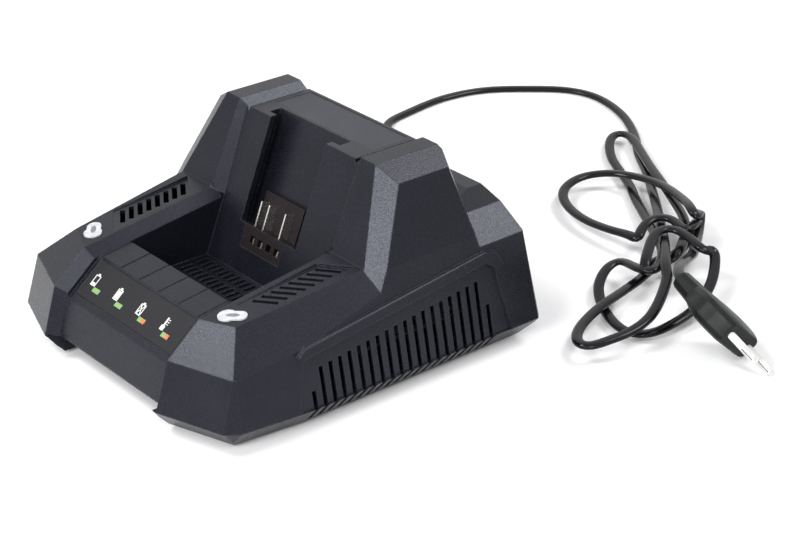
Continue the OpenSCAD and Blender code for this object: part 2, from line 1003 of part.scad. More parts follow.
sink_x = 16;
sink_y = 64;
sink_w = 44;
sink_h = 32;
sink_t = 3;
sink_fins = 7;
sink_fin_t = 2;
sink_fin_l = 10;

// Finned heat sink
module heat_sink() {
    color(metal)
        translate([sink_x - sink_w / 2, sink_y, board_top_z]) {
            cube([sink_w, sink_t, sink_h]);
            for (i = [0 : sink_fins - 1])
                translate([i * (sink_w - sink_fin_t) / (sink_fins - 1), sink_t, 0])
                    cube([sink_fin_t, sink_fin_l, sink_h]);
        }
}

// Two power transistors against the heat sink
module power_transistors() {
    color(rubber)
        for (i = [0, 1])
            translate([sink_x - 17 + i * 22, sink_y - 4.6, board_top_z])
                cube([10, 4.6, 20]);
}

// Mains fuse
module fuse() {
    color(clear_white)
        translate([-52, 62, board_top_z + 4])
            rotate([0, 90, 0]) {
                cylinder(d = 5, h = 20);
                for (e = [0, 1])
                    translate([-0.8, -4, e * 16 + 1])
                        cube([4.8, 8, 2]);
            }
}

// Square fan frame with a hub base on four arms
module fan_frame() {
    color(rubber)
        translate([fan_x, fan_y, fan_z])
            rotate([0, 90, 0])
                difference() {
                    union() {
                        difference() {
                            translate([-fan_size / 2, -fan_size / 2, 0])
                                cube([fan_size, fan_size, fan_t]);
                            translate([0, 0, -1])
                                cylinder(d = fan_bore_d, h = fan_t + 2);
                        }
                        cylinder(d = fan_hub_d, h = fan_base_t);
                        for (a = [45, 135])
                            rotate([0, 0, a])
                                translate([-fan_size / 2, -1.2, 0])
                                    cube([fan_size, 2.4, 1.8]);
                    }
                    translate([0, 0, -1])
                        cylinder(d = fan_shaft_d + 2 * fan_play, h = fan_base_t + 2);
                }
}

// Fan rotor: hub, blades and shaft
module fan_rotor() {
    color(slate)
        translate([fan_x, fan_y, fan_z])
            rotate([0, 90, 0]) {
                translate([0, 0, fan_base_t + 0.4])
                    cylinder(d = fan_hub_d, h = fan_t - fan_base_t - 0.8);
                translate([0, 0, 0.2])
                    cylinder(d = fan_shaft_d, h = fan_base_t + 1);
                for (i = [0 : fan_blades - 1])
                    rotate([0, 0, i * 360 / fan_blades])
                        translate([fan_hub_d / 2 - 1, 0, fan_base_t + 3])
                            rotate([38, 0, 0])
                                translate([0, -3, -0.5])
                                    cube([fan_bore_d / 2 - fan_hub_d / 2 + 1 - fan_tip_gap - 0.5, 6, 1]);
            }
}

// Bar that clamps the lead inside the housing
module cord_clamp() {
    color(charcoal)
        difference() {
            translate([exit_x - 13, rear_y - 22, exit_z + lead_t / 2])
                cube([26, 8, 3]);
            for (s = [-1, 1])
                translate([exit_x + s * 9, rear_y - 18, 0])
                    cylinder(d = screw_d + 0.4, h = 60);
        }
}

// Screws of the clamp bar
module clamp_screws() {
    color(metal)
        for (s = [-1, 1])
            translate([exit_x + s * 9, rear_y - 18, exit_z + lead_t / 2 + 3]) {
                cylinder(d = screw_head_d, h = screw_head_h);
                translate([0, 0, -14])
                    cylinder(d = screw_d, h = 14);
            }
}

// Strain relief: flange inside the wall, tapered sleeve outside
module cord_gland() {
    color(rubber)
        translate([exit_x, 0, exit_z])
            rotate([-90, 0, 0])
                difference() {
                    union() {
                        translate([0, 0, rear_y - 8])
                            cylinder(d = relief_d + 4, h = 4.2);
                        translate([0, 0, rear_y - 8])
                            cylinder(d = relief_d, h = 8);
                        translate([0, 0, rear_y])
                            cylinder(d1 = relief_d, d2 = lead_w + 2, h = relief_l);
                    }
                    translate([-lead_w / 2, -lead_t / 2, rear_y - 20])
                        cube([lead_w, lead_t, relief_l + 15]);
                }
}

// Inner end of the lead: through the gland, under the clamp and down to the board
module mains_leads() {
    color(charcoal) {
        translate([exit_x - lead_w / 2, rear_y - inner_lead_l, exit_z - lead_t / 2])
            cube([lead_w, inner_lead_l - lead_joint, lead_t]);
        for (s = [-1, 1])
            translate([exit_x + s * core_gap - core_side / 2, rear_y - inner_lead_l - core_l, exit_z - core_side / 2])
                cube([core_side, core_l, core_side]);
        for (s = [-1, 1])
            translate([exit_x + s * core_gap - core_side / 2, rear_y - inner_lead_l - core_l - core_side, board_top_z])
                cube([core_side, core_side, exit_z + core_side / 2 - board_top_z]);
    }
}

// Two leads from the main board up to the terminal block
module terminal_leads() {
    color([0.7, 0.1, 0.1])
        for (s = [-1, 1])
            hull() {
                translate([block_x + s * 5, 22, board_top_z])
                    cylinder(d = 2.2, h = 0.5, $fn = 12);
                on_panel()
                    translate([block_x + s * 5, channel_depth, block_z + 6])
                        rotate([-90, 0, 0])
                            cylinder(d = 2.2, h = 0.5, $fn = 12);
            }
}

// Rubber foot number i
module foot(i) {
    color(rubber)
        translate([foot_places[i][0], foot_places[i][1], 0])
            cylinder(d = foot_d - 2 * fit, h = foot_h);
}

module foot_front_left() {
    foot(0);
}

module foot_front_right() {
    foot(1);
}

module foot_rear_left() {
    foot(2);
}

module foot_rear_right() {
    foot(3);
}

// Screws that hold the two shells together
module housing_screws() {
    color(metal)
        for (p = boss_places) {
            translate([p[0], p[1], head_seat_z - screw_head_h])
                cylinder(d = screw_head_d, h = screw_head_h);
            translate([p[0], p[1], head_seat_z])
                cylinder(d = screw_d, h = parting_z - head_seat_z + housing_screw_l - 4);
        }
}

// Points of a smooth curve through the given points, n to each span
function smooth(p, n) = [
    for (i = [0 : len(p) - 2], k = [0 : n - 1])
        let (a = p[max(i - 1, 0)], b = p[i], c = p[i + 1], d = p[min(i + 2, len(p) - 1)], u = k / n)
            0.5 * (2 * b + (c - a) * u + (2 * a - 5 * b + 4 * c - d) * u * u
                + (3 * b - a - 3 * c + d) * u * u * u),
    p[len(p) - 1],
];

// Direction of a path at its point i
function heading(p, i) =
    let (d = p[min(i + 1, len(p) - 1)] - p[max(i - 1, 0)]) d / norm(d);

// One ring of the flat lead round point i, w wide and t thick
function ring(p, i, sides, w, t) =
    let (
        d = heading(p, i),
        side = cross([0, 0, 1], d) / norm(cross([0, 0, 1], d)),
        up = cross(d, side)
    ) [
        for (k = [0 : sides - 1])
            let (a = 360 * (k + 0.5) / sides)
                p[i] + side * cos(a) * w / 2 + up * sin(a) * t / 2
    ];

// A closed tube along a path, with triangular faces
module tube(p, sides, w, t) {
    n = len(p);
    rings = [for (i = [0 : n - 1]) each ring(p, i, sides, w, t)];
    walls = [
        for (i = [0 : n - 2], k = [0 : sides - 1])
            let (a = i * sides + k, b = i * sides + (k + 1) % sides)
                each [[a, a + sides, b], [b, a + sides, b + sides]]
    ];
    caps = [
        for (k = [1 : sides - 2])
            each [[0, k, k + 1], [(n - 1) * sides, (n - 1) * sides + k + 1, (n - 1) * sides + k]]
    ];
    polyhedron(points = rings, faces = concat(walls, caps), convexity = 10);
}

// Hank: loops with a drawn-in waist, spiralling in on the surface and out
// again on top, described in the hank's own frame (s along, w across)
hank_centre = [36, 199];
hank_turn = -44;
hank_half_l = 105;
hank_swell = 30;
hank_draw = 14;
hank_step = 7.2;
hank_layer = 4;
hank_start = 135;
hank_turns = 3.2083;
hank_rings = 24;

function hank_inset(t) = hank_step * min(t, hank_turns - t);
function hank_climb(t) = min(1, max(0, (t - hank_turns / 2 + 0.09) / 0.18));
function hank_point(t) =
    let (
        a = hank_start - 360 * t,
        run = [-hank_half_l * sin(a), hank_swell * cos(a) + 3 * hank_draw * cos(3 * a)],
        inward = [-run[1], run[0]] / norm(run),
        base = [hank_half_l * cos(a), hank_swell * sin(a) + hank_draw * sin(3 * a)],
        q = base + inward * hank_inset(t)
    ) [
        hank_centre[0] + q[0] * cos(hank_turn) - q[1] * sin(hank_turn),
        hank_centre[1] + q[0] * sin(hank_turn) + q[1] * cos(hank_turn),
        lead_t / 2 + hank_layer * hank_climb(t),
    ];

hank_steps = floor(hank_turns * hank_rings);
hank_path = [for (i = [0 : hank_steps]) hank_point(hank_turns * i / hank_steps)];

// Least gap of the hank to itself, leaving out neighbours along the tube
function apart(a, b) =
    norm([max(0, norm([a[0] - b[0], a[1] - b[1]]) - lead_w), max(0, abs(a[2] - b[2]) - lead_t)]);
fine_path = [for (i = [0 : 4 * hank_steps]) hank_point(hank_turns * i / (4 * hank_steps))];
hank_gap = min([
    for (i = [0 : len(fine_path) - 1], j = [i + 20 : 1 : len(fine_path) - 1])
        apart(fine_path[i], fine_path[j])
]);

// Free stretch from the gland to the hank
run_points = [
    [exit_x, rear_y - lead_joint, exit_z], [exit_x, relief_end_y - 10, exit_z],
    [exit_x, relief_end_y, exit_z], [exit_x, relief_end_y + 6, exit_z],
    [-25, 142, 13], [-38, 160, 5], [-60, 172, 2.4], [-88, 181, 1.7], [-116, 187, 1.7],
    [-144, 196, 1.7], [-163, 212, 1.7], [-168, 236, 1.7], [-166, 262, 1.7],
    [-158, 288, 1.7], [-143, 312, 1.7], [-122, 327, 1.7], [-98, 328, 1.7],
    [-78, 319, 1.7], [-58, 307, 1.7], [-34, 294, 1.7], [-14, 285, 1.7],
];
run_path = smooth(concat(run_points, [hank_path[0]]), 3);

// Free stretch from the hank to the plug
plug_place = [168, 146, 14];
plug_pitch = 15.9;
plug_heading = -8.7;
plug_roll = -43;
plug_axis = [
    cos(plug_pitch) * cos(plug_heading), cos(plug_pitch) * sin(plug_heading), -sin(plug_pitch),
];
plug_end = plug_place - plug_l * plug_axis;
tail_points = [
    hank_path[hank_steps], [104, 174, 9], [111, 164, 16], [116, 156, 23],
    plug_end - 9 * plug_axis, plug_end,
];
tail_path = smooth(tail_points, 3);

// The lead's two free stretches on the surface
module cord_run() {
    color(rubber) {
        tube(run_path, 10, lead_w, lead_t);
        tube(tail_path, 10, lead_w, lead_t);
    }
}

// The put-up part of the lead
module cord_hank() {
    color(rubber)
        tube(hank_path, 6, lead_w, lead_t);
}

// The frame of the plug: X points out of its face
module on_plug() {
    translate(plug_place)
        rotate([0, plug_pitch, plug_heading])
            rotate([plug_roll, 0, 0])
                children();
}

// Flat plug body, waisted towards the lead
module plug_body() {
    face = plug_w - 9;
    color(rubber)
        on_plug()
            difference() {
                intersection() {
                    translate([0, 0, -plug_t / 2])
                        linear_extrude(plug_t)
                            polygon([
                                [0, -face / 2], [0, face / 2], [-9, plug_w / 2], [-17, plug_w / 2],
                                [-plug_l, 6], [-plug_l, -6], [-17, -plug_w / 2], [-9, -plug_w / 2],
                            ]);
                    rotate([90, 0, 0])
                        translate([0, 0, -plug_w])
                            linear_extrude(2 * plug_w)
                                polygon([
                                    [0, -plug_t / 2 + 1], [0, plug_t / 2 - 1], [-3, plug_t / 2],
                                    [-20, plug_t / 2], [-plug_l, 4], [-plug_l, -4],
                                    [-20, -plug_t / 2], [-3, -plug_t / 2],
                                ]);
                }
                for (s = [-1, 1])
                    translate([-6, s * pin_gap / 2, 0])
                        rotate([0, 90, 0])
                            cylinder(d = pin_d - 1, h = 10);
            }
}

// Metal pins of the plug
module plug_pins() {
    color(metal)
        on_plug()
            for (s = [-1, 1])
                translate([0, s * pin_gap / 2, 0])
                    rotate([0, 90, 0]) {
                        translate([0, 0, -6])
                            cylinder(d = pin_d - 1, h = 6 + sleeve_l);
                        translate([0, 0, sleeve_l])
                            cylinder(d = pin_d, h = pin_l - sleeve_l - 1);
                        translate([0, 0, pin_l - 1])
                            cylinder(d1 = pin_d, d2 = pin_d - 1.6, h = 1);
                    }
}

// Insulating sleeves on the pins
module plug_sleeves() {
    color(clear_white)
        on_plug()
            for (s = [-1, 1])
                translate([0, s * pin_gap / 2, 0])
                    rotate([0, 90, 0])
                        difference() {
                            cylinder(d = pin_d - 0.2, h = sleeve_l);
                            translate([0, 0, -1])
                                cylinder(d = pin_d - 1, h = sleeve_l + 2);
                        }
}

echo(hank_least_gap = hank_gap);

top_housing();
bottom_housing();
top_plate();
label_panel();
status_window_1();
status_window_2();
status_window_3();
status_window_4();
left_lens();
right_lens();
terminal_block();
power_blades();
signal_contacts();
led_board();
status_leds();
led_board_screws();
main_board();
board_screws();
transformer_core();
transformer_winding();
mains_capacitor();
output_capacitors();
choke();
heat_sink();
power_transistors();
fuse();
fan_frame();
fan_rotor();
cord_clamp();
clamp_screws();
cord_gland();
mains_leads();
terminal_leads();
foot_front_left();
foot_front_right();
foot_rear_left();
foot_rear_right();
housing_screws();
cord_run();
cord_hank();
plug_body();
plug_pins();
plug_sleeves();
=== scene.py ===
"""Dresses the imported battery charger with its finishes, mains lead and small parts.

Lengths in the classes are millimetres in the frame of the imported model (+Z up,
the battery bay opens towards -Y, origin at the housing's bottom centre). They
become metres when a mesh is made.
"""

from __future__ import annotations

import logging
import math
from dataclasses import dataclass, field
from enum import Enum

import bmesh
import bpy
import numpy as np
from mathutils import Matrix, Vector


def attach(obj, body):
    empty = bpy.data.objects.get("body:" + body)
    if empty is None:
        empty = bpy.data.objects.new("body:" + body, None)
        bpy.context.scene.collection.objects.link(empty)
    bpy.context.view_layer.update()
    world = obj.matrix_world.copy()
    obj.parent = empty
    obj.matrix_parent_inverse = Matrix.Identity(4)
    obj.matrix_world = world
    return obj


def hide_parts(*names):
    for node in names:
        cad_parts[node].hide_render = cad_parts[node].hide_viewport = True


LOG = logging.getLogger("charger")
MM = 0.001
BODY = "charger"
Point = tuple[float, float, float]
Colour = tuple[float, float, float]
Socket = bpy.types.NodeSocket

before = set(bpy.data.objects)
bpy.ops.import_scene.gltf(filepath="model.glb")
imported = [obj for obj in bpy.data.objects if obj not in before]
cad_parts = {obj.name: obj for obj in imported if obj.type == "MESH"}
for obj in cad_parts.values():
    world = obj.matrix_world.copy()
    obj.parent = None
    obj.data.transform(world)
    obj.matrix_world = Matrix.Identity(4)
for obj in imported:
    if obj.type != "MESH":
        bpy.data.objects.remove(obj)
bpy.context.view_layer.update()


def at(x: float, y: float, z: float, *turns: tuple[float, str]) -> Matrix:
    """Gives a place in millimetres with turns applied from the left.

    Args:
        x: Place along X.
        y: Place along Y.
        z: Place along Z.
        turns: Angles in degrees, each with its axis.

    Returns:
        The place as a matrix.
    """
    place = Matrix.Translation((x, y, z))
    for angle, axis in turns:
        place = place @ Matrix.Rotation(math.radians(angle), 4, axis)
    return place


LABEL = at(0, -66, 45.6, (39.806, "X"))
ARM = at(0, -70.9, 50, (7.7, "X"))
PLUG = at(168, 146, 14, (-8.7, "Z"), (15.9, "Y"), (-43, "X"))


# ---------------------------------------------------------------- finishes


class NodeSheet:
    """A material's node tree with short ways to add and join nodes."""

    def __init__(self, name: str) -> None:
        """Makes an empty material with a principled shader.

        Args:
            name: Name of the material.
        """
        self.material = bpy.data.materials.new(name)
        self.material.use_nodes = True
        self.tree = self.material.node_tree
        self.tree.nodes.clear()
        self.out = self.tree.nodes.new("ShaderNodeOutputMaterial")
        self.shader = self.tree.nodes.new("ShaderNodeBsdfPrincipled")
        self.join(self.shader.outputs["BSDF"], self.out.inputs["Surface"])
        self.place = self.tree.nodes.new("ShaderNodeTexCoord").outputs["Object"]

    def join(self, source: Socket, target: Socket) -> None:
        """Joins two sockets."""
        self.tree.links.new(source, target)

    def add(
        self, kind: str, values: dict[str, float] | None = None, **settings: object,
    ) -> bpy.types.Node:
        """Adds a node.

        Args:
            kind: The node's type without its ShaderNode prefix.
            values: Values for inputs, by the input's name.
            settings: Properties of the node.

        Returns:
            The new node.
        """
        node = self.tree.nodes.new("ShaderNode" + kind)
        for name, value in settings.items():
            setattr(node, name, value)
        for name, value in (values or {}).items():
            node.inputs[name].default_value = value
        return node

    def noise(
        self, scale: float, detail: float = 2.0, rough: float = 0.5, stretch: Point | None = None,
    ) -> Socket:
        """Adds a noise pattern in object space.

        Args:
            scale: Features per metre.
            detail: Octaves.
            rough: Weight of the finer octaves.
            stretch: Scale along the three axes, or None.

        Returns:
            The pattern's value.
        """
        node = self.add("TexNoise", {"Scale": scale, "Detail": detail, "Roughness": rough})
        place = self.place
        if stretch:
            mapping = self.add("Mapping")
            mapping.inputs["Scale"].default_value = stretch
            self.join(place, mapping.inputs["Vector"])
            place = mapping.outputs["Vector"]
        self.join(place, node.inputs["Vector"])
        return node.outputs["Fac"]

    def span(
        self, source: Socket, low: float, high: float, to_low: float, to_high: float,
    ) -> Socket:
        """Maps a value from one span to another, clamped.

        Args:
            source: The value.
            low: Low end of its span.
            high: High end of its span.
            to_low: What the low end becomes.
            to_high: What the high end becomes.

        Returns:
            The new value.
        """
        node = self.add(
            "MapRange",
            {"From Min": low, "From Max": high, "To Min": to_low, "To Max": to_high},
        )
        self.join(source, node.inputs["Value"])
        return node.outputs["Result"]

    def blend(self, share: Socket, first: object, second: object) -> Socket:
        """Mixes two colours.

        Args:
            share: Share of the second colour.
            first: A colour or a socket.
            second: A colour or a socket.

        Returns:
            The mixed colour.
        """
        node = self.add("Mix", data_type="RGBA")
        self.join(share, node.inputs["Factor"])
        for name, value in (("A", first), ("B", second)):
            socket = [s for s in node.inputs if s.name == name and s.type == "RGBA"][0]
            if isinstance(value, Socket):
                self.join(value, socket)
            else:
                socket.default_value = (*value, 1.0)
        return [s for s in node.outputs if s.type == "RGBA"][0]

    def bump(
        self, height: Socket, depth: float, strength: float = 1.0,
        base: Socket | None = None,
    ) -> Socket:
        """Adds a bump.

        Args:
            height: The pattern's height.
            depth: Depth in metres.
            strength: Strength of the bump.
            base: The normal that it starts from, or None.

        Returns:
            The bumped normal.
        """
        node = self.add("Bump", {"Distance": depth, "Strength": strength})
        self.join(height, node.inputs["Height"])
        if base is not None:
            self.join(base, node.inputs["Normal"])
        return node.outputs["Normal"]

    def rounded(self, radius: float) -> tuple[Socket, Socket]:
        """Softens edges in the shading.

        Args:
            radius: Radius of the softened edge in metres.

        Returns:
            The softened normal, and a mask that is 1 at an edge.
        """
        soft = self.add("Bevel", {"Radius": radius}, samples=4)
        flat = self.add("NewGeometry")
        dot = self.add("VectorMath", operation="DOT_PRODUCT")
        self.join(soft.outputs["Normal"], dot.inputs[0])
        self.join(flat.outputs["Normal"], dot.inputs[1])
        return soft.outputs["Normal"], self.span(dot.outputs["Value"], 0.995, 0.9, 0, 1)

    def paint(self, colour: Socket) -> None:
        """Gives the shader its colour."""
        self.join(colour, self.shader.inputs["Base Color"])

    def gloss(self, pattern: Socket, low: float, high: float) -> None:
        """Gives the shader a roughness that follows a pattern.

        Args:
            pattern: The pattern, of which the middle is used.
            low: Lowest roughness.
            high: Highest roughness.
        """
        self.join(self.span(pattern, 0.3, 0.7, low, high), self.shader.inputs["Roughness"])

    def surface(self, normal: Socket) -> None:
        """Gives the shader its normal."""
        self.join(normal, self.shader.inputs["Normal"])

    def fix(self, name: str, value: object) -> None:
        """Gives one of the shader's inputs a fixed value."""
        self.shader.inputs[name].default_value = value


def shaded(colour: Colour, share: float, lift: float = 0.0) -> Colour:
    """Scales and lifts a colour, up to white.

    Args:
        colour: The colour.
        share: What it is multiplied by.
        lift: What is added.

    Returns:
        The new colour.
    """
    return tuple(min(1.0, c * share + lift) for c in colour)


class Finish:
    """A finish that is made once and used by several pieces."""

    made: dict[str, bpy.types.Material] = {}

    def sheet(self) -> NodeSheet:
        """Builds the finish's nodes."""
        raise NotImplementedError

    def material(self) -> bpy.types.Material:
        """Gives the finish's material, made at its first use."""
        name = getattr(self, "name")
        if name not in Finish.made:
            Finish.made[name] = self.sheet().material
        return Finish.made[name]


@dataclass(frozen=True)
class MouldedPlastic(Finish):
    """Plastic with a fine moulded grain, lighter specks that paint glints, a painted edge highlight
    and softened edges.
    """

    name: str
    colour: Colour
    roughness: float = 0.28
    specular: float = 0.27
    grain: float = 1500.0
    depth: float = 0.00007
    speck: float = 0.3
    edge: float = 0.0008
    # How much lighter the painted edge highlight is than the plastic.
    edge_highlight_lift: float = 2.6
    # Colour of the painted glints, laid as lighter specks.
    speck_glint: Colour = (0.05, 0.052, 0.066)
    tint: Colour = (0.84, 0.87, 1.0)

    def sheet(self) -> NodeSheet:
        """Builds grain, specks that paint glints, slow colour change and a painted edge highlight.
        """
        s = NodeSheet(self.name)
        normal, mask = s.rounded(self.edge)
        grain = s.noise(self.grain, detail=3.0, rough=0.6)
        slow = s.span(s.noise(35.0, detail=3.0, rough=0.55), 0.3, 0.7, 0, 1)
        body = s.blend(slow, shaded(self.colour, 0.82), shaded(self.colour, 1.22))
        # Painted glints: small lighter specks in the colour.
        fine = s.noise(self.grain * 1.4, detail=1.0, rough=0.4)
        body = s.blend(s.span(fine, 0.62, 0.74, 0, self.speck), body, self.speck_glint)
        # Painted highlight: edges lighter in colour, broken up by a noise.
        edge_highlight = s.add("Math", operation="MULTIPLY")
        s.join(mask, edge_highlight.inputs[0])
        s.join(s.span(s.noise(260.0, rough=0.6), 0.35, 0.65, 0.25, 1.0), edge_highlight.inputs[1])
        s.paint(s.blend(edge_highlight.outputs[0], body, shaded(self.colour, self.edge_highlight_lift, 0.012)))
        s.gloss(grain, self.roughness - 0.07, self.roughness + 0.09)
        s.surface(s.bump(grain, self.depth, 0.8, normal))
        s.fix("Specular IOR Level", self.specular)
        s.fix("Specular Tint", (*self.tint, 1.0))
        return s


@dataclass(frozen=True)
class Pvc(Finish):
    """Smooth soft plastic of the lead and the plug, with a soft gloss."""

    name: str
    colour: Colour = (0.0035, 0.0035, 0.005)
    roughness: float = 0.16
    edge: float = 0.0005
    ripple: float = 240.0
    specular: float = 0.2
    dust: Colour = (0.09, 0.09, 0.10)
    # Colour of the painted highlight along the edges.
    rim_highlight: Colour = (0.05, 0.05, 0.055)

    def sheet(self) -> NodeSheet:
        """Builds slow gloss change, faint ripple, dust specks and a painted highlight along the
        edges.
        """
        s = NodeSheet(self.name)
        normal, mask = s.rounded(self.edge)
        slow = s.noise(60.0)
        specks = s.span(s.noise(1700.0, detail=1.0, rough=0.4), 0.7, 0.78, 0, 0.35)
        body = s.blend(specks, self.colour, self.dust)
        # Painted highlight: edges lighter in colour.
        s.paint(s.blend(s.span(mask, 0, 1, 0, 0.35), body, self.rim_highlight))
        s.gloss(slow, self.roughness - 0.06, self.roughness + 0.1)
        s.surface(s.bump(s.noise(self.ripple), 0.00012, 0.5, normal))
        s.fix("Specular IOR Level", self.specular)
        return s


@dataclass(frozen=True)
class Metal(Finish):
    """Plated or bare metal with fine drawn lines and small stains."""

    name: str
    colour: Colour
    roughness: float = 0.25
    lines: Point = (1.0, 1.0, 14.0)
    edge: float = 0.0002

    def sheet(self) -> NodeSheet:
        """Builds drawn lines, a mottled colour and a painted highlight along the edges."""
        s = NodeSheet(self.name)
        normal, mask = s.rounded(self.edge)
        drawn = s.noise(420.0, 3.0, 0.6, self.lines)
        stain = s.span(s.noise(180.0, detail=3.0, rough=0.6), 0.4, 0.7, 0, 0.3)
        body = s.blend(stain, self.colour, shaded(self.colour, 0.8))
        # Painted highlight: edges a quarter lighter in colour.
        s.paint(s.blend(s.span(mask, 0, 1, 0, 0.5), body, shaded(self.colour, 1.25)))
        s.gloss(drawn, self.roughness, self.roughness + 0.16)
        s.surface(s.bump(drawn, 0.000008, 0.3, normal))
        s.fix("Metallic", 1.0)
        return s


@dataclass(frozen=True)
class ClearPlastic(Finish):
    """Clear or tinted plastic of the lenses and light pipes."""

    name: str
    colour: Colour
    roughness: float = 0.12
    passing: float = 0.6
    edge: float = 0.0004
    index: float = 1.49

    def sheet(self) -> NodeSheet:
        """Builds tint, flow marks and a soft surface."""
        s = NodeSheet(self.name)
        normal, _ = s.rounded(self.edge)
        flow = s.noise(300.0, detail=3.0, rough=0.6)
        s.paint(s.blend(s.span(flow, 0.35, 0.65, 0, 1), self.colour, shaded(self.colour, 0.8)))
        s.gloss(flow, self.roughness, self.roughness + 0.1)
        s.surface(s.bump(flow, 0.00003, 0.5, normal))
        s.fix("Transmission Weight", self.passing)
        s.fix("IOR", self.index)
        return s


@dataclass(frozen=True)
class Laminate(Finish):
    """Circuit board with its tracks under green lacquer."""

    name: str
    colour: Colour = (0.004, 0.022, 0.009)
    edge: float = 0.0003

    def sheet(self) -> NodeSheet:
        """Builds tracks from a cell pattern and weave from a fine noise."""
        s = NodeSheet(self.name)
        normal, _ = s.rounded(self.edge)
        cells = s.add("TexVoronoi", {"Scale": 130.0}, distance="CHEBYCHEV", feature="F1")
        s.join(s.place, cells.inputs["Vector"])
        track = s.span(cells.outputs["Distance"], 0.34, 0.38, 0, 1)
        s.paint(s.blend(track, self.colour, shaded(self.colour, 1.9, 0.01)))
        s.gloss(s.noise(1500.0), 0.28, 0.42)
        s.surface(s.bump(track, 0.00005, 0.5, normal))
        return s


@dataclass(frozen=True)
class Print(Finish):
    """Screen print or a coloured film, a little uneven."""

    name: str
    colour: Colour
    roughness: float = 0.5

    def sheet(self) -> NodeSheet:
        """Builds a thin, slightly broken ink layer."""
        s = NodeSheet(self.name)
        ink = s.noise(2200.0, rough=0.6)
        s.paint(s.blend(s.span(ink, 0.35, 0.7, 0, 1), self.colour, shaded(self.colour, 0.78)))
        s.gloss(ink, self.roughness - 0.08, self.roughness + 0.08)
        s.surface(s.bump(ink, 0.00001, 0.4))
        return s


HOUSING = MouldedPlastic("housing_grain", (0.0066, 0.0070, 0.0104))
PLATE = MouldedPlastic(
    "plate_satin", (0.030, 0.032, 0.039), roughness=0.45, grain=2200.0, depth=0.00003,
)
LABEL_FOIL = MouldedPlastic(
    "label_foil", (0.006, 0.0055, 0.0055), roughness=0.42, grain=900.0, depth=0.00002,
    speck=0.15, edge=0.0003,
)
TERMINAL = MouldedPlastic(
    "terminal_brown", (0.0075, 0.0042, 0.0038), roughness=0.5, grain=1200.0, speck=0.1,
    edge=0.0004, speck_glint=(0.03, 0.018, 0.014),
)
COMPONENT = MouldedPlastic(
    "component_black", (0.012, 0.012, 0.013), roughness=0.5, grain=1000.0, speck=0.1, edge=0.0003,
)
SLEEVE_BLUE = MouldedPlastic(
    "capacitor_sleeve", (0.010, 0.020, 0.070), roughness=0.3, grain=500.0, speck=0.05, edge=0.0005,
)
FERRITE = MouldedPlastic(
    "ferrite", (0.022, 0.022, 0.023), roughness=0.6, grain=1800.0, speck=0.4, edge=0.0003,
)
RUBBER = MouldedPlastic(
    "foot_rubber", (0.012, 0.012, 0.012), roughness=0.75, grain=1300.0, speck=0.15, edge=0.0005,
)
LEAD = Pvc("lead_pvc")
PLUG_PVC = Pvc("plug_pvc", (0.0040, 0.0048, 0.0046), roughness=0.42, ripple=420.0)
WIRE = Pvc("wire_red", (0.30, 0.015, 0.012), roughness=0.4)
TAPE = Pvc("winding_tape", (0.42, 0.25, 0.03), roughness=0.35)
COPPER = Metal("enamelled_wire", (0.62, 0.27, 0.11))
BLADE = Metal("tinned_blade", (0.86, 0.84, 0.80), roughness=0.16)
NICKEL = Metal("nickel_pin", (0.84, 0.83, 0.80), roughness=0.10)
ZINC = Metal("zinc_screw", (0.55, 0.55, 0.57), roughness=0.28)
ALUMINIUM = Metal("bare_aluminium", (0.66, 0.67, 0.69), roughness=0.32)
SLEEVE = MouldedPlastic(
    "pin_sleeve", (0.72, 0.72, 0.74), roughness=0.3, grain=900.0, speck=0.0, edge=0.0003,
    edge_highlight_lift=1.1,
)
LENS = ClearPlastic("lamp_lens", (0.90, 0.91, 0.96), passing=0.35)
PIPE = ClearPlastic("light_pipe", (0.55, 0.55, 0.52), passing=0.3)
BOARD = Laminate("board_lacquer")
WHITE_INK = Print("white_ink", (0.80, 0.80, 0.78))
GREEN_FILM = Print("green_film", (0.22, 0.40, 0.14), roughness=0.3)
RED_FILM = Print("red_film", (0.62, 0.19, 0.07), roughness=0.3)
LENS_CORE = Print("lens_core", (0.20, 0.205, 0.22), roughness=0.4)


# ---------------------------------------------------------------- meshes


def ellipse(across: float, along: float, height: float, sides: int) -> list[Point]:
    """Gives the corners of a level ellipse.

    Args:
        across: Half its size along X.
        along: Half its size along Y.
        height: Its height.
        sides: Number of corners.

    Returns:
        The corners.
    """
    turns = [2 * math.pi * k / sides for k in range(sides)]
    return [(across * math.cos(a), along * math.sin(a), height) for a in turns]


def linked(name: str, mesh: bpy.types.Mesh, body: str = BODY) -> bpy.types.Object:
    """Puts a mesh into the scene as a piece.

    Args:
        name: The piece's name.
        mesh: Its mesh.
        body: The body that it rides on.

    Returns:
        The new object.
    """
    piece = bpy.data.objects.new(name, mesh)
    bpy.context.scene.collection.objects.link(piece)
    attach(piece, body)
    LOG.info("%s: %d faces", name, len(mesh.polygons))
    return piece


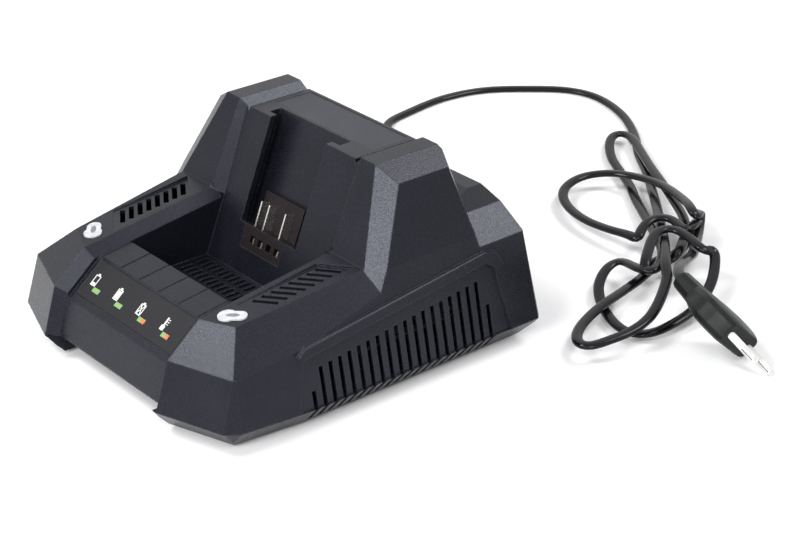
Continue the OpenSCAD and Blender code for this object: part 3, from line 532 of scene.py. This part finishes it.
@dataclass
class Former:
    """Collects the corners and faces of one piece, in millimetres."""

    name: str
    corners: list[Vector] = field(default_factory=list)
    faces: list[tuple[int, ...]] = field(default_factory=list)

    def add(
        self, corners: list[Point], faces: list[tuple[int, ...]], place: Matrix | None = None,
    ) -> None:
        """Adds a form.

        Args:
            corners: The form's corners.
            faces: Its faces, by corner number.
            place: Where it goes, or None.
        """
        first = len(self.corners)
        place = place or Matrix.Identity(4)
        self.corners.extend(place @ Vector(c) for c in corners)
        self.faces.extend(tuple(i + first for i in f) for f in faces)

    def block(self, size: Point, centre: Point, place: Matrix | None = None) -> None:
        """Adds a block with the given size and centre."""
        h = [s / 2 for s in size]
        corners = [
            (centre[0] + sx * h[0], centre[1] + sy * h[1], centre[2] + sz * h[2])
            for sz in (-1, 1) for sy in (-1, 1) for sx in (-1, 1)
        ]
        faces = [(0, 2, 3, 1), (4, 5, 7, 6), (0, 1, 5, 4), (2, 6, 7, 3), (0, 4, 6, 2), (1, 3, 7, 5)]
        self.add(corners, faces, place)

    def turned(
        self, profile: list[tuple[float, float]], sides: int, place: Matrix | None = None,
    ) -> None:
        """Adds a form turned about Z.

        Args:
            profile: Radius and height of each ring, from the bottom up.
            sides: Sides of the form.
            place: Where it goes, or None.
        """
        self.loft([ellipse(r, r, z, sides) for r, z in profile], place)

    def loft(self, rings: list[list[Point]], place: Matrix | None = None) -> None:
        """Joins closed rings of equal count, and closes both ends."""
        n = len(rings[0])
        corners = [c for ring in rings for c in ring]
        faces: list[tuple[int, ...]] = [
            (j * n + k, j * n + (k + 1) % n, (j + 1) * n + (k + 1) % n, (j + 1) * n + k)
            for j in range(len(rings) - 1) for k in range(n)
        ]
        faces.append(tuple(reversed(range(n))))
        faces.append(tuple(range((len(rings) - 1) * n, len(rings) * n)))
        self.add(corners, faces, place)

    def made(self, finish: Finish, slot: str, smooth: float = 35.0) -> bpy.types.Object:
        """Makes the piece.

        Args:
            finish: The piece's finish.
            slot: Not used.
            smooth: Angle in degrees below which an edge is shaded smooth.

        Returns:
            The new object.
        """
        mesh = bpy.data.meshes.new(self.name)
        mesh.from_pydata([tuple(c * MM) for c in self.corners], [], self.faces)
        work = bmesh.new()
        work.from_mesh(mesh)
        bmesh.ops.recalc_face_normals(work, faces=work.faces)
        for face in work.faces:
            face.smooth = True
        for edge in work.edges:
            if len(edge.link_faces) == 2 and edge.calc_face_angle() > math.radians(smooth):
                edge.smooth = False
        work.to_mesh(mesh)
        work.free()
        mesh.materials.append(finish.material())
        return linked(self.name, mesh)


class RowForm(Enum):
    """The small form that a row repeats."""

    BLOCK = "block"
    CROSS = "cross"


@dataclass
class Row:
    """Repeats a small form on a grid with Geometry Nodes, as one plain mesh."""

    name: str
    form: RowForm
    size: Point
    count: tuple[int, int]
    pitch: tuple[float, float]
    place: Matrix

    def form_nodes(self, tree: bpy.types.NodeTree) -> Socket:
        """Builds the repeated form.

        Args:
            tree: The node tree.

        Returns:
            The form's geometry.
        """
        size = [s * MM for s in self.size]
        join = tree.nodes.new("GeometryNodeJoinGeometry")
        spans = [tuple(size)]
        if self.form is RowForm.CROSS:
            spans.append((size[1], size[0], size[2]))
        for span in spans:
            cube = tree.nodes.new("GeometryNodeMeshCube")
            cube.inputs["Size"].default_value = span
            tree.links.new(cube.outputs["Mesh"], join.inputs["Geometry"])
        return join.outputs["Geometry"]

    def tree(self, material: bpy.types.Material) -> tuple[bpy.types.NodeTree, dict[str, str]]:
        """Builds the tree with its named inputs.

        Args:
            material: The material that it sets.

        Returns:
            The tree, and each input's identifier by its name.
        """
        tree = bpy.data.node_groups.new(self.name + "_rows", "GeometryNodeTree")
        tree.interface.new_socket("Geometry", in_out="INPUT", socket_type="NodeSocketGeometry")
        sockets = (
            ("Columns", "Vertices X", "NodeSocketInt"), ("Rows", "Vertices Y", "NodeSocketInt"),
            ("Span X", "Size X", "NodeSocketFloat"), ("Span Y", "Size Y", "NodeSocketFloat"),
        )
        names = {}
        for name, _, kind in sockets:
            made = tree.interface.new_socket(name, in_out="INPUT", socket_type=kind)
            names[name] = made.identifier
        tree.interface.new_socket("Geometry", in_out="OUTPUT", socket_type="NodeSocketGeometry")
        source = tree.nodes.new("NodeGroupInput")
        target = tree.nodes.new("NodeGroupOutput")
        grid = tree.nodes.new("GeometryNodeMeshGrid")
        for name, measure, _ in sockets:
            tree.links.new(source.outputs[name], grid.inputs[measure])
        put = tree.nodes.new("GeometryNodeInstanceOnPoints")
        tree.links.new(grid.outputs["Mesh"], put.inputs["Points"])
        tree.links.new(self.form_nodes(tree), put.inputs["Instance"])
        real = tree.nodes.new("GeometryNodeRealizeInstances")
        tree.links.new(put.outputs["Instances"], real.inputs["Geometry"])
        paint = tree.nodes.new("GeometryNodeSetMaterial")
        paint.inputs["Material"].default_value = material
        tree.links.new(real.outputs["Geometry"], paint.inputs["Geometry"])
        tree.links.new(paint.outputs["Geometry"], target.inputs["Geometry"])
        return tree, names

    def made(self, finish: Finish, slot: str) -> bpy.types.Object:
        """Makes the row as a plain mesh.

        Args:
            finish: The row's finish.
            slot: Not used.

        Returns:
            The new object.
        """
        carrier_name = self.name + "_carrier"
        carrier = bpy.data.objects.new(carrier_name, bpy.data.meshes.new(carrier_name))
        bpy.context.scene.collection.objects.link(carrier)
        tree, names = self.tree(finish.material())
        modifier = carrier.modifiers.new("rows", "NODES")
        modifier.node_group = tree
        values = {
            "Columns": self.count[0],
            "Rows": self.count[1],
            "Span X": self.pitch[0] * (self.count[0] - 1) * MM,
            "Span Y": self.pitch[1] * (self.count[1] - 1) * MM,
        }
        for name, value in values.items():
            modifier[names[name]] = value
        graph = bpy.context.evaluated_depsgraph_get()
        mesh = bpy.data.meshes.new_from_object(carrier.evaluated_get(graph))
        mesh.name = self.name
        carrier.modifiers.remove(modifier)
        bpy.data.objects.remove(carrier)
        scaled = self.place.copy()
        scaled.translation = self.place.translation * MM
        mesh.transform(scaled)
        if not mesh.materials:
            mesh.materials.append(finish.material())
        return linked(self.name, mesh)


def dress(node: str, finish: Finish) -> None:
    """Gives a CAD node its finish.

    Args:
        node: The node's name.
        finish: Its finish.
    """
    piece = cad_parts[node]
    material = finish.material()
    if not piece.material_slots:
        piece.data.materials.append(material)
    for slot in piece.material_slots:
        slot.material = material
    LOG.info("%s: dressed with %s", node, material.name)


# ---------------------------------------------------------------- parts


@dataclass
class Housing:
    """The two shells, the top plate and what is let into them."""

    screw_span: tuple[float, float] = (132.0, 133.0)
    screw_middle_y: float = 15.0
    screw_face_z: float = 3.8
    # Size of each flat cross of painted shade.
    cross: Point = (3.6, 0.8, 0.1)

    def build(self) -> None:
        """Dresses the shells and adds painted shade in the cross recesses of the screw heads."""
        for node in ("top_housing", "bottom_housing", "cord_clamp"):
            dress(node, HOUSING)
        dress("top_plate", PLATE)
        for node in ("foot_front_left", "foot_front_right", "foot_rear_left", "foot_rear_right"):
            dress(node, RUBBER)
        dress("housing_screws", ZINC)
        # Painted shade: flat dark crosses stand for the shaded recesses in the screw heads.
        Row(
            "housing_screw_crosses", RowForm.CROSS, self.cross, (2, 2), self.screw_span,
            at(0, self.screw_middle_y, self.screw_face_z),
        ).made(COMPONENT, "screw")


@dataclass
class Lamps:
    """The clear lenses on the arms with their dull core."""

    core: tuple[float, float] = (6.4, 2.6)
    core_lift: float = 0.12
    core_top: float = 0.86
    side_x: float = 56.0
    along_y: float = 11.6
    face_z: float = 0.66
    turn: float = 40.0

    def build(self) -> None:
        """Dresses the lenses and lays the core in each."""
        for node in ("left_lens", "right_lens"):
            dress(node, LENS)
        cores = Former("lens_cores")
        across, along = self.core
        for side in (-1, 1):
            place = at(side * self.side_x, self.along_y, self.face_z, (side * self.turn, "Z"))
            cores.loft([
                ellipse(grow * across / 2, grow * along / 2, height, 24)
                for height, grow in ((0.0, 1.0), (self.core_lift, self.core_top))
            ], ARM @ place)
        cores.made(LENS_CORE, "lens")


# One stroke of a symbol: width, height, place across and along, turn in radians
Stroke = tuple[float, float, float, float, float]
CELL: tuple[Stroke, ...] = (
    (3.2, 0.5, 0, -2.6, 0), (3.2, 0.5, 0, 2.6, 0), (0.5, 5.7, -1.6, 0, 0), (0.5, 5.7, 1.6, 0, 0),
    (1.4, 0.8, 0, 3.3, 0),
)
THERMOMETER: tuple[Stroke, ...] = (
    (1.0, 5.0, 0, 1.4, 0), (2.6, 2.4, 0, -1.6, 0),
    *((1.2, 0.4, 1.5, 0.6 + k * 1.2, 0) for k in range(3)),
)
SYMBOLS = (
    (*CELL, (2.2, 1.2, 0, -1.6, 0)),
    (*CELL, (2.2, 4.2, 0, 0, 0)),
    (*CELL, (0.5, 6.6, 0, 0, 0.5), (0.5, 6.6, 0, 0, -0.5)),
    THERMOMETER,
)


@dataclass
class StatusPanel:
    """The label on the front slope with symbols and lit windows."""

    pitch: float = 18.7
    window: tuple[float, float] = (5.0, 2.4)
    window_y: float = -14.4
    film_t: float = 0.1
    symbol_x: float = -4.6
    symbol_y: float = -10.4
    ink_t: float = 0.06

    def build(self) -> None:
        """Dresses the label and adds its windows and symbols."""
        dress("label_panel", LABEL_FOIL)
        for n in range(1, 5):
            dress(f"status_window_{n}", PIPE)
        self.films()
        self.symbols()

    def films(self) -> None:
        """Adds the coloured films over the windows."""
        green = Former("window_films_green")
        red = Former("window_films_red")
        w, h = self.window
        t = self.film_t
        for i in range(len(SYMBOLS)):
            x = (i - 1.5) * self.pitch
            if i < 2:
                green.block((w, h, t), (x, self.window_y, t / 2), LABEL)
            else:
                green.block((w / 2, h, t), (x - w / 4, self.window_y, t / 2), LABEL)
                red.block((w / 2, h, t), (x + w / 4, self.window_y, t / 2), LABEL)
        green.made(GREEN_FILM, "lens")
        red.made(RED_FILM, "lens")

    def symbols(self) -> None:
        """Adds plain symbols above the windows: cell, full cell, crossed cell, thermometer."""
        ink = Former("label_symbols")
        for i, strokes in enumerate(SYMBOLS):
            x = (i - 1.5) * self.pitch + self.symbol_x
            place = LABEL @ at(x, self.symbol_y, self.ink_t)
            for w, h, across, along, turn in strokes:
                turned = place @ Matrix.Rotation(turn, 4, "Z")
                ink.block((w, h, self.ink_t), (across, along, 0), turned)
        ink.made(WHITE_INK, "label")


@dataclass
class Terminals:
    """The terminal block with its blades, contacts and inner leads."""

    def build(self) -> None:
        """Dresses the block and all that it holds."""
        dress("terminal_block", TERMINAL)
        dress("power_blades", BLADE)
        dress("signal_contacts", BLADE)
        dress("terminal_leads", WIRE)


@dataclass
class Electronics:
    """The boards and what stands on them."""

    winding: Point = (-22, 38, 37.6)
    turn: Point = (17.8, 0.5, 28.8)
    turn_count: int = 22
    turn_pitch: float = 0.92

    def build(self) -> None:
        """Dresses every part of the electronics and adds the transformer's turns."""
        finishes = {
            "led_board": BOARD, "main_board": BOARD, "status_leds": PIPE,
            "led_board_screws": ZINC, "board_screws": ZINC, "clamp_screws": ZINC,
            "transformer_core": FERRITE, "transformer_winding": TAPE,
            "mains_capacitor": SLEEVE_BLUE, "output_capacitors": SLEEVE_BLUE,
            "choke": COPPER, "heat_sink": ALUMINIUM, "power_transistors": COMPONENT,
            "fuse": SLEEVE, "fan_frame": COMPONENT, "fan_rotor": COMPONENT,
        }
        for node, finish in finishes.items():
            dress(node, finish)
        self.turns()

    def turns(self) -> None:
        """Lays the transformer's turns of wire round its winding."""
        Row(
            "transformer_turns", RowForm.BLOCK, self.turn, (1, self.turn_count),
            (0, self.turn_pitch), at(*self.winding, (90, "X")),
        ).made(COPPER, "winding")


@dataclass
class MainsLead:
    """The flat twin lead: free stretch, bundle with its wraps, tail and plug."""

    width: float = 5.4
    thick: float = 3.2
    sides: int = 14
    step: float = 2.6
    clearance: float = 0.25
    floor_gap: float = 0.05
    own_reach: float = 18.0
    settle_rounds: int = 240
    tail_l: float = 48.0
    ease_rounds: int = 4
    plug_samples: int = 6
    steepest: float = 0.35
    turn_share: float = 0.25
    free: list[Point] = field(default_factory=lambda: [
        (-22, 121.5, 19), (-22, 127.5, 19), (-25, 142, 13), (-38, 160, 5), (-60, 172, 2.4),
        (-88, 181, 1.7), (-116, 187, 1.7), (-141, 193, 1.7), (-158, 205, 1.7), (-164, 227, 1.7),
        (-167, 256, 1.7), (-161, 283, 1.7), (-144, 307, 1.7), (-127, 323, 1.7), (-107, 327.5, 1.7),
        (-80, 320, 1.7), (-54, 304, 1.7),
    ])
    bundle: list[Point] = field(default_factory=lambda: [
            (-31, 284, 2.5), (-7, 266, 4), (19, 244, 6), (46, 220, 10), (73, 195, 16.5),
            (98, 170, 22.5), (104, 165, 17), (115, 149, 14.5), (123, 133, 12), (125, 118, 9),
            (123, 106, 6), (120, 95, 4), (112, 96, 3), (103, 107, 3), (96, 123, 5), (91, 142, 5),
            (85, 164, 5), (78, 187, 2), (84, 193, 9), (70, 214, 6), (55, 229, 6.5), (36, 242, 7),
            (15, 255, 8.5), (-5, 267, 7.5), (-28, 282, 7), (-46, 293, 6), (-56, 293, 4.5),
            (-52, 282, 2.5), (-36, 267, 2), (-17, 256, 2), (-3, 248, 2.5), (15, 235, 2.5),
            (37, 220, 3.5), (58, 205, 5.5), (81, 186, 12), (93, 167, 22.5), (83, 166, 19),
            (68, 169, 8.5), (68, 159, 3.5), (77, 145, 2), (92, 134, 1.7), (108, 127, 1.7),
            (118, 127, 1.7), (124, 133, 1.7), (125, 147, 1.7), (123, 165, 2), (115, 184, 2.5),
            (106, 197, 5), (97, 206, 9.5), (97, 198, 21.5), (84, 202, 23), (71, 203, 20.5),
            (69, 193, 20), (82, 173, 23.5), (89, 165, 21), (79, 182, 8), (80, 193, 5),
            (72, 215, 2), (60, 234, 1.7), (67, 226, 15), (72, 212, 28), (58, 216, 22),
            (51, 210, 17.5), (54, 198, 13), (59, 191, 9), (50, 193, 5.5), (37, 192, 3),
            (18, 193, 2), (-1, 199, 2), (-15, 209, 2), (-21, 222, 3), (-20, 234, 5),
            (-11, 244, 8), (5, 248, 10.5), (24, 246, 13.5), (49, 235, 18), (68, 223, 19.5),
            (62, 234, 5), (90, 199, 17), (99, 185, 19), (110, 167, 24),
    ])
    tail: list[Point] = field(default_factory=lambda: [
        (117, 158, 26), (125.2, 152.5, 26.3), (133.8, 151.2, 23.9),
    ])

    def curve(self, points: list[Point]) -> np.ndarray:
        """Runs a smooth curve through points and samples it evenly.

        Args:
            points: The points that it passes.

        Returns:
            The samples, one row each.
        """
        p = np.array(points, float)
        ext = np.vstack([2 * p[0] - p[1], p, 2 * p[-1] - p[-2]])
        fine = []
        for a, b, c, d in zip(ext, ext[1:], ext[2:], ext[3:]):
            for u in np.linspace(0, 1, 12, endpoint=False):
                square = (2 * a - 5 * b + 4 * c - d) * u**2
                cube = (3 * b - a - 3 * c + d) * u**3
                fine.append(0.5 * (2 * b + (c - a) * u + square + cube))
        fine.append(p[-1])
        fine = np.array(fine)
        run = np.concatenate([[0], np.cumsum(np.linalg.norm(np.diff(fine, axis=0), axis=1))])
        places = np.linspace(0, run[-1], int(run[-1] / self.step) + 1)
        return np.column_stack([np.interp(places, run, fine[:, k]) for k in range(3)])

    def eased(self, path: np.ndarray, rounds: int, start: int, end: int) -> np.ndarray:
        """Smooths a path between two samples.

        Args:
            path: The samples.
            rounds: How often it is smoothed.
            start: The first sample that may move.
            end: The sample after the last one.

        Returns:
            The smoothed samples.
        """
        path = path.copy()
        for _ in range(rounds):
            beside = path[start - 1:end - 1] + path[start + 1:end + 1]
            path[start:end] = 0.5 * path[start:end] + 0.25 * beside
        return path

    def settled(self, path: np.ndarray, start: int, end: int) -> np.ndarray:
        """Parts the strands wherever two cross, so that they pass over each other.

        Args:
            path: The samples.
            start: The first sample that may move.
            end: The sample after the last one.

        Returns:
            The samples with their new heights.
        """
        path = path.copy()
        apart = self.thick + self.clearance
        low = self.thick / 2 + self.floor_gap
        index = np.arange(len(path))
        other = np.abs(index[:, None] - index[None, :]) > self.own_reach / self.step
        other &= np.linalg.norm(path[:, None, :2] - path[None, :, :2], axis=2) < self.width
        free = (index >= start) & (index < end)
        for _ in range(self.settle_rounds):
            rise = path[:, None, 2] - path[None, :, 2]
            close = other & (np.abs(rise) < apart)
            if not close.any():
                break
            way = np.where(rise == 0, np.sign(index[:, None] - index[None, :]), np.sign(rise))
            push = np.where(close, way * (apart - np.abs(rise)) / 2, 0).sum(axis=1)
            path[:, 2] += np.where(free, push / np.maximum(close.sum(axis=1), 1), 0)
            for _ in range(4):
                smooth = 0.5 * path[1:-1, 2] + 0.25 * (path[:-2, 2] + path[2:, 2])
                path[1:-1, 2] = np.where(free[1:-1], smooth, path[1:-1, 2])
            path[:, 2] = np.maximum(path[:, 2], low)
        return path

    def profile(self) -> list[tuple[float, float]]:
        """Gives the flat twin outline with its shallow groove, as side and up."""
        outline = []
        for k in range(self.sides):
            a = 2 * math.pi * (k + 0.5) / self.sides
            c, s = math.cos(a), math.sin(a)
            groove = 0.20 * math.exp(-((c / 0.28) ** 2))
            outline.append((
                math.copysign(abs(c) ** 0.85, c) * self.width / 2,
                math.copysign(abs(s) ** 0.8, s) * (self.thick / 2 - groove),
            ))
        return outline

    def tube(self, path: np.ndarray, finish: Finish, name: str) -> bpy.types.Object:
        """Sweeps the outline along a path.

        Args:
            path: The samples in millimetres.
            finish: The tube's finish.
            name: The piece's name.

        Returns:
            The new object.
        """
        outline = self.profile()
        former = Former(name)
        rings = []
        heading = np.gradient(path, axis=0)
        heading /= np.linalg.norm(heading, axis=1)[:, None]
        upright = [0, 0, 1.0]
        side = np.cross(upright, heading[0])
        side /= np.linalg.norm(side)
        for p, d in zip(path, heading):
            flat = np.cross(upright, d)
            if np.linalg.norm(flat) > self.steepest:
                flat = flat / np.linalg.norm(flat)
                if flat @ side < 0:
                    flat = -flat
                side = (1 - self.turn_share) * side + self.turn_share * flat
            side = side - d * (side @ d)
            side /= np.linalg.norm(side)
            up = np.cross(d, side)
            rings.append([tuple(p + side * a + up * b) for a, b in outline])
        former.loft(rings)
        return former.made(finish, "lead")

    def build(self) -> None:
        path = self.curve(self.free + self.bundle + self.tail)
        free_end = np.array(self.free[-1][:2])
        bundle_start = int(np.argmin(np.linalg.norm(path[:, :2] - free_end, axis=1)))
        tail_start = len(path) - int(self.tail_l / self.step)
        path = self.settled(path, bundle_start, tail_start)
        path = self.eased(path, self.ease_rounds, bundle_start, len(path) - self.plug_samples)
        lead = self.tube(path, LEAD, "mains_lead")
        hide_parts("cord_run", "cord_hank")
        plug = Plug()
        relief = StrainRelief()
        pieces = plug.build() + [relief.build()]
        dress("mains_leads", LEAD)


@dataclass
class StrainRelief:
    """The ribbed, tapered sleeve where the lead leaves the housing.

    Its profile is given as radius and place along Y, from inside the housing out.
    """

    flange: tuple[tuple[float, float], ...] = (
        (0.0, 87.5), (6.9, 87.5), (7.0, 87.9), (7.0, 91.3), (6.9, 91.6), (4.95, 91.6),
        (4.95, 95.6),
    )
    root_y: float = 95.6
    end_y: float = 121.5
    length: float = 26.0
    base: float = 9.9
    tip: float = 7.4
    mouth: float = 3.4
    ribs: int = 7
    rib_depth: float = 0.9
    sides: int = 32
    lead_x: float = -22.0
    lead_z: float = 19.0

    def build(self) -> bpy.types.Object:
        """Builds the sleeve and its inner flange.

        Returns:
            The sleeve.
        """
        profile = list(self.flange)
        for i in range(self.ribs):
            start = self.root_y + self.length * (i + 0.25) / self.ribs
            stop = self.root_y + self.length * (i + 0.75) / self.ribs
            share = (i + 0.5) / self.ribs
            r = (self.base + (self.tip - self.base) * share) / 2
            valley = r - self.rib_depth
            profile += [(valley, start), (r, start + 0.5), (r, stop - 0.3), (valley, stop + 0.2)]
        profile += [(self.mouth, self.end_y - 0.3), (0.0, self.end_y)]
        former = Former("strain_relief")
        former.turned(profile, self.sides, at(self.lead_x, 0, self.lead_z, (-90, "X")))
        piece = former.made(PLUG_PVC, "rubber")
        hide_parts("cord_gland")
        return piece


@dataclass
class Plug:
    """The flat mains plug: moulded body, pins and sleeves.

    A station gives a place along the plug, its width and thickness there, and
    the share of the thickness that the chamfer takes.
    """

    stations: tuple[tuple[float, float, float, float], ...] = (
        (-45.4, 11.6, 8.0, 0.42), (-45.0, 13.2, 9.4, 0.38), (-33.0, 16.6, 10.8, 0.34),
        (-31.6, 18.4, 11.2, 0.32), (-27.0, 25.0, 12.2, 0.28), (-22.0, 31.6, 13.0, 0.26),
        (-17.4, 34.8, 13.5, 0.24), (-16.2, 35.2, 13.6, 0.24), (-10.0, 35.2, 13.6, 0.24),
        (-8.8, 34.4, 13.6, 0.24), (-3.6, 29.8, 13.4, 0.24), (-0.6, 26.8, 12.2, 0.22),
        (0.0, 25.8, 11.4, 0.2),
    )
    smooth: float = 22.0

    def section(self, x: float, w: float, t: float, round_share: float) -> list[Point]:
        """Gives one section across the body.

        Args:
            x: Its place along the plug.
            w: Its width.
            t: Its thickness.
            round_share: Share of the thickness that the chamfer takes.

        Returns:
            The ring of corners.
        """
        c = t * round_share
        shoulder = (w / 2 - c * 0.45, t / 2 - c * 0.3)
        right = [(w / 2, 0.0), (w / 2, t / 2 - c), shoulder, (w / 2 - c * 1.3, t / 2), (0, t / 2)]
        left = [(-y, z) for y, z in reversed(right)]
        upper = right + left[1:]
        lower = [(y, -z) for y, z in reversed(upper)][1:-1]
        return [(x, y, z) for y, z in upper + lower]

    def build(self) -> list[bpy.types.Object]:
        """Builds the body and dresses the pins.

        Returns:
            The pieces on the cord.
        """
        body = Former("plug_shell")
        body.loft([self.section(*s) for s in self.stations], PLUG)
        shell = body.made(PLUG_PVC, "lead", self.smooth)
        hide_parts("plug_body")
        dress("plug_pins", NICKEL)
        dress("plug_sleeves", SLEEVE)
        return [shell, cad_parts["plug_pins"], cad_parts["plug_sleeves"]]


# ---------------------------------------------------------------- studio


@dataclass
class Lamp:
    """One soft area lamp aimed at the charger."""

    name: str
    place: Point
    size: float
    power: float
    aim: Point = (0.02, 0.02, 0.04)

    def build(self) -> None:
        """Adds the lamp."""
        data = bpy.data.lights.new(self.name, "AREA")
        data.shape = "SQUARE"
        data.size = self.size
        data.energy = self.power
        lamp = bpy.data.objects.new(self.name, data)
        lamp.location = self.place
        heading = Vector(self.aim) - Vector(self.place)
        lamp.rotation_euler = heading.to_track_quat("-Z", "Y").to_euler()
        bpy.context.scene.collection.objects.link(lamp)


@dataclass
class Studio:
    """Camera, pale floor, soft lamps and a white surround."""

    eye: Point = (0.7215, -0.5205, 0.4818)
    azimuth: float = 50.14
    elevation: float = 26.74
    lens: float = 94.6
    world_level: float = 0.2
    reach: float = 1.5
    floor_half: float = 6.0
    floor_lift: float = 0.1
    lamp_size: float = 0.5

    def camera(self) -> None:
        """Sets the camera at the photograph's viewing angle."""
        data = bpy.data.cameras.new("camera")
        data.lens = self.lens
        data.sensor_width = 36.0
        data.clip_end = 50.0
        camera = bpy.data.objects.new("camera", data)
        camera.location = self.eye
        tilt = math.radians(90 - self.elevation)
        camera.rotation_euler = (tilt, 0.0, math.radians(self.azimuth))
        bpy.context.scene.collection.objects.link(camera)
        bpy.context.scene.camera = camera

    def background(self, colour: Colour, strength: float) -> bpy.types.Node:
        """Adds a background to the surround.

        Args:
            colour: Its colour.
            strength: Its strength.

        Returns:
            The new node.
        """
        node = bpy.context.scene.world.node_tree.nodes.new("ShaderNodeBackground")
        node.inputs["Color"].default_value = (*colour, 1)
        node.inputs["Strength"].default_value = strength
        return node

    def world(self) -> None:
        """Makes the surround white where it is seen and soft grey for light."""
        world = bpy.data.worlds.new("surround")
        bpy.context.scene.world = world
        world.use_nodes = True
        tree = world.node_tree
        tree.nodes.clear()
        out = tree.nodes.new("ShaderNodeOutputWorld")
        seen = self.background((1, 1, 1), 1.0)
        light = self.background((0.97, 0.98, 1.0), self.world_level)
        path = tree.nodes.new("ShaderNodeLightPath")
        share = path.outputs["Is Camera Ray"]
        for ray in ("Is Transmission Ray", "Is Glossy Ray"):
            either = tree.nodes.new("ShaderNodeMath")
            either.operation = "MAXIMUM"
            tree.links.new(share, either.inputs[0])
            tree.links.new(path.outputs[ray], either.inputs[1])
            share = either.outputs[0]
        mix = tree.nodes.new("ShaderNodeMixShader")
        for source, target in zip((share, light.outputs[0], seen.outputs[0]), mix.inputs):
            tree.links.new(source, target)
        tree.links.new(mix.outputs[0], out.inputs["Surface"])

    def floor(self) -> None:
        """Adds the pale floor, which keeps the charger's shadow and fades to white."""
        h = self.floor_half
        mesh = bpy.data.meshes.new("floor")
        mesh.from_pydata([(-h, -h, 0), (h, -h, 0), (h, h, 0), (-h, h, 0)], [], [(0, 1, 2, 3)])
        floor = bpy.data.objects.new("floor", mesh)
        bpy.context.scene.collection.objects.link(floor)
        sheet = NodeSheet("floor_pale")
        fine = sheet.noise(30.0)
        sheet.paint(sheet.blend(fine, (0.90, 0.90, 0.91), (0.93, 0.93, 0.935)))
        path = sheet.add("LightPath")
        away = sheet.add("VectorMath", operation="LENGTH")
        sheet.join(sheet.place, away.inputs[0])
        fade = sheet.span(away.outputs["Value"], 0.5, 1.8, self.floor_lift, 1.0)
        lift = sheet.add("Math", operation="MULTIPLY")
        sheet.join(path.outputs["Is Camera Ray"], lift.inputs[0])
        sheet.join(fade, lift.inputs[1])
        sheet.join(lift.outputs[0], sheet.shader.inputs["Emission Strength"])
        sheet.fix("Emission Color", (1, 1, 1, 1))
        sheet.fix("Roughness", 0.9)
        sheet.fix("Specular IOR Level", 0.1)
        mesh.materials.append(sheet.material)

    def build(self) -> None:
        """Builds the whole studio."""
        bpy.context.scene.view_settings.view_transform = "Standard"
        self.camera()
        self.world()
        self.floor()
        for name, heading, power in (
            ("arm_lamp", (-0.34, -0.48, 0.81), 12.0),
            ("ear_lamp", (0.32, -0.80, 0.51), 14.0),
            ("bay_lamp", (0.63, -0.35, 0.67), 8.0),
            ("deck_lamp", (0.20, 0.57, 0.80), 9.0),
        ):
            place = tuple(v * self.reach for v in heading)
            Lamp(name, place, self.lamp_size, power).build()


def main() -> None:
    """Builds the studio and every sub-assembly."""
    logging.basicConfig(level=logging.INFO, format="%(name)s: %(message)s")
    parts = (
        Studio(), MainsLead(), Housing(), Lamps(), StatusPanel(), Terminals(), Electronics(),
    )
    for part in parts:
        LOG.info("building %s", type(part).__name__)
        part.build()


if __name__ == "__main__":
    main()
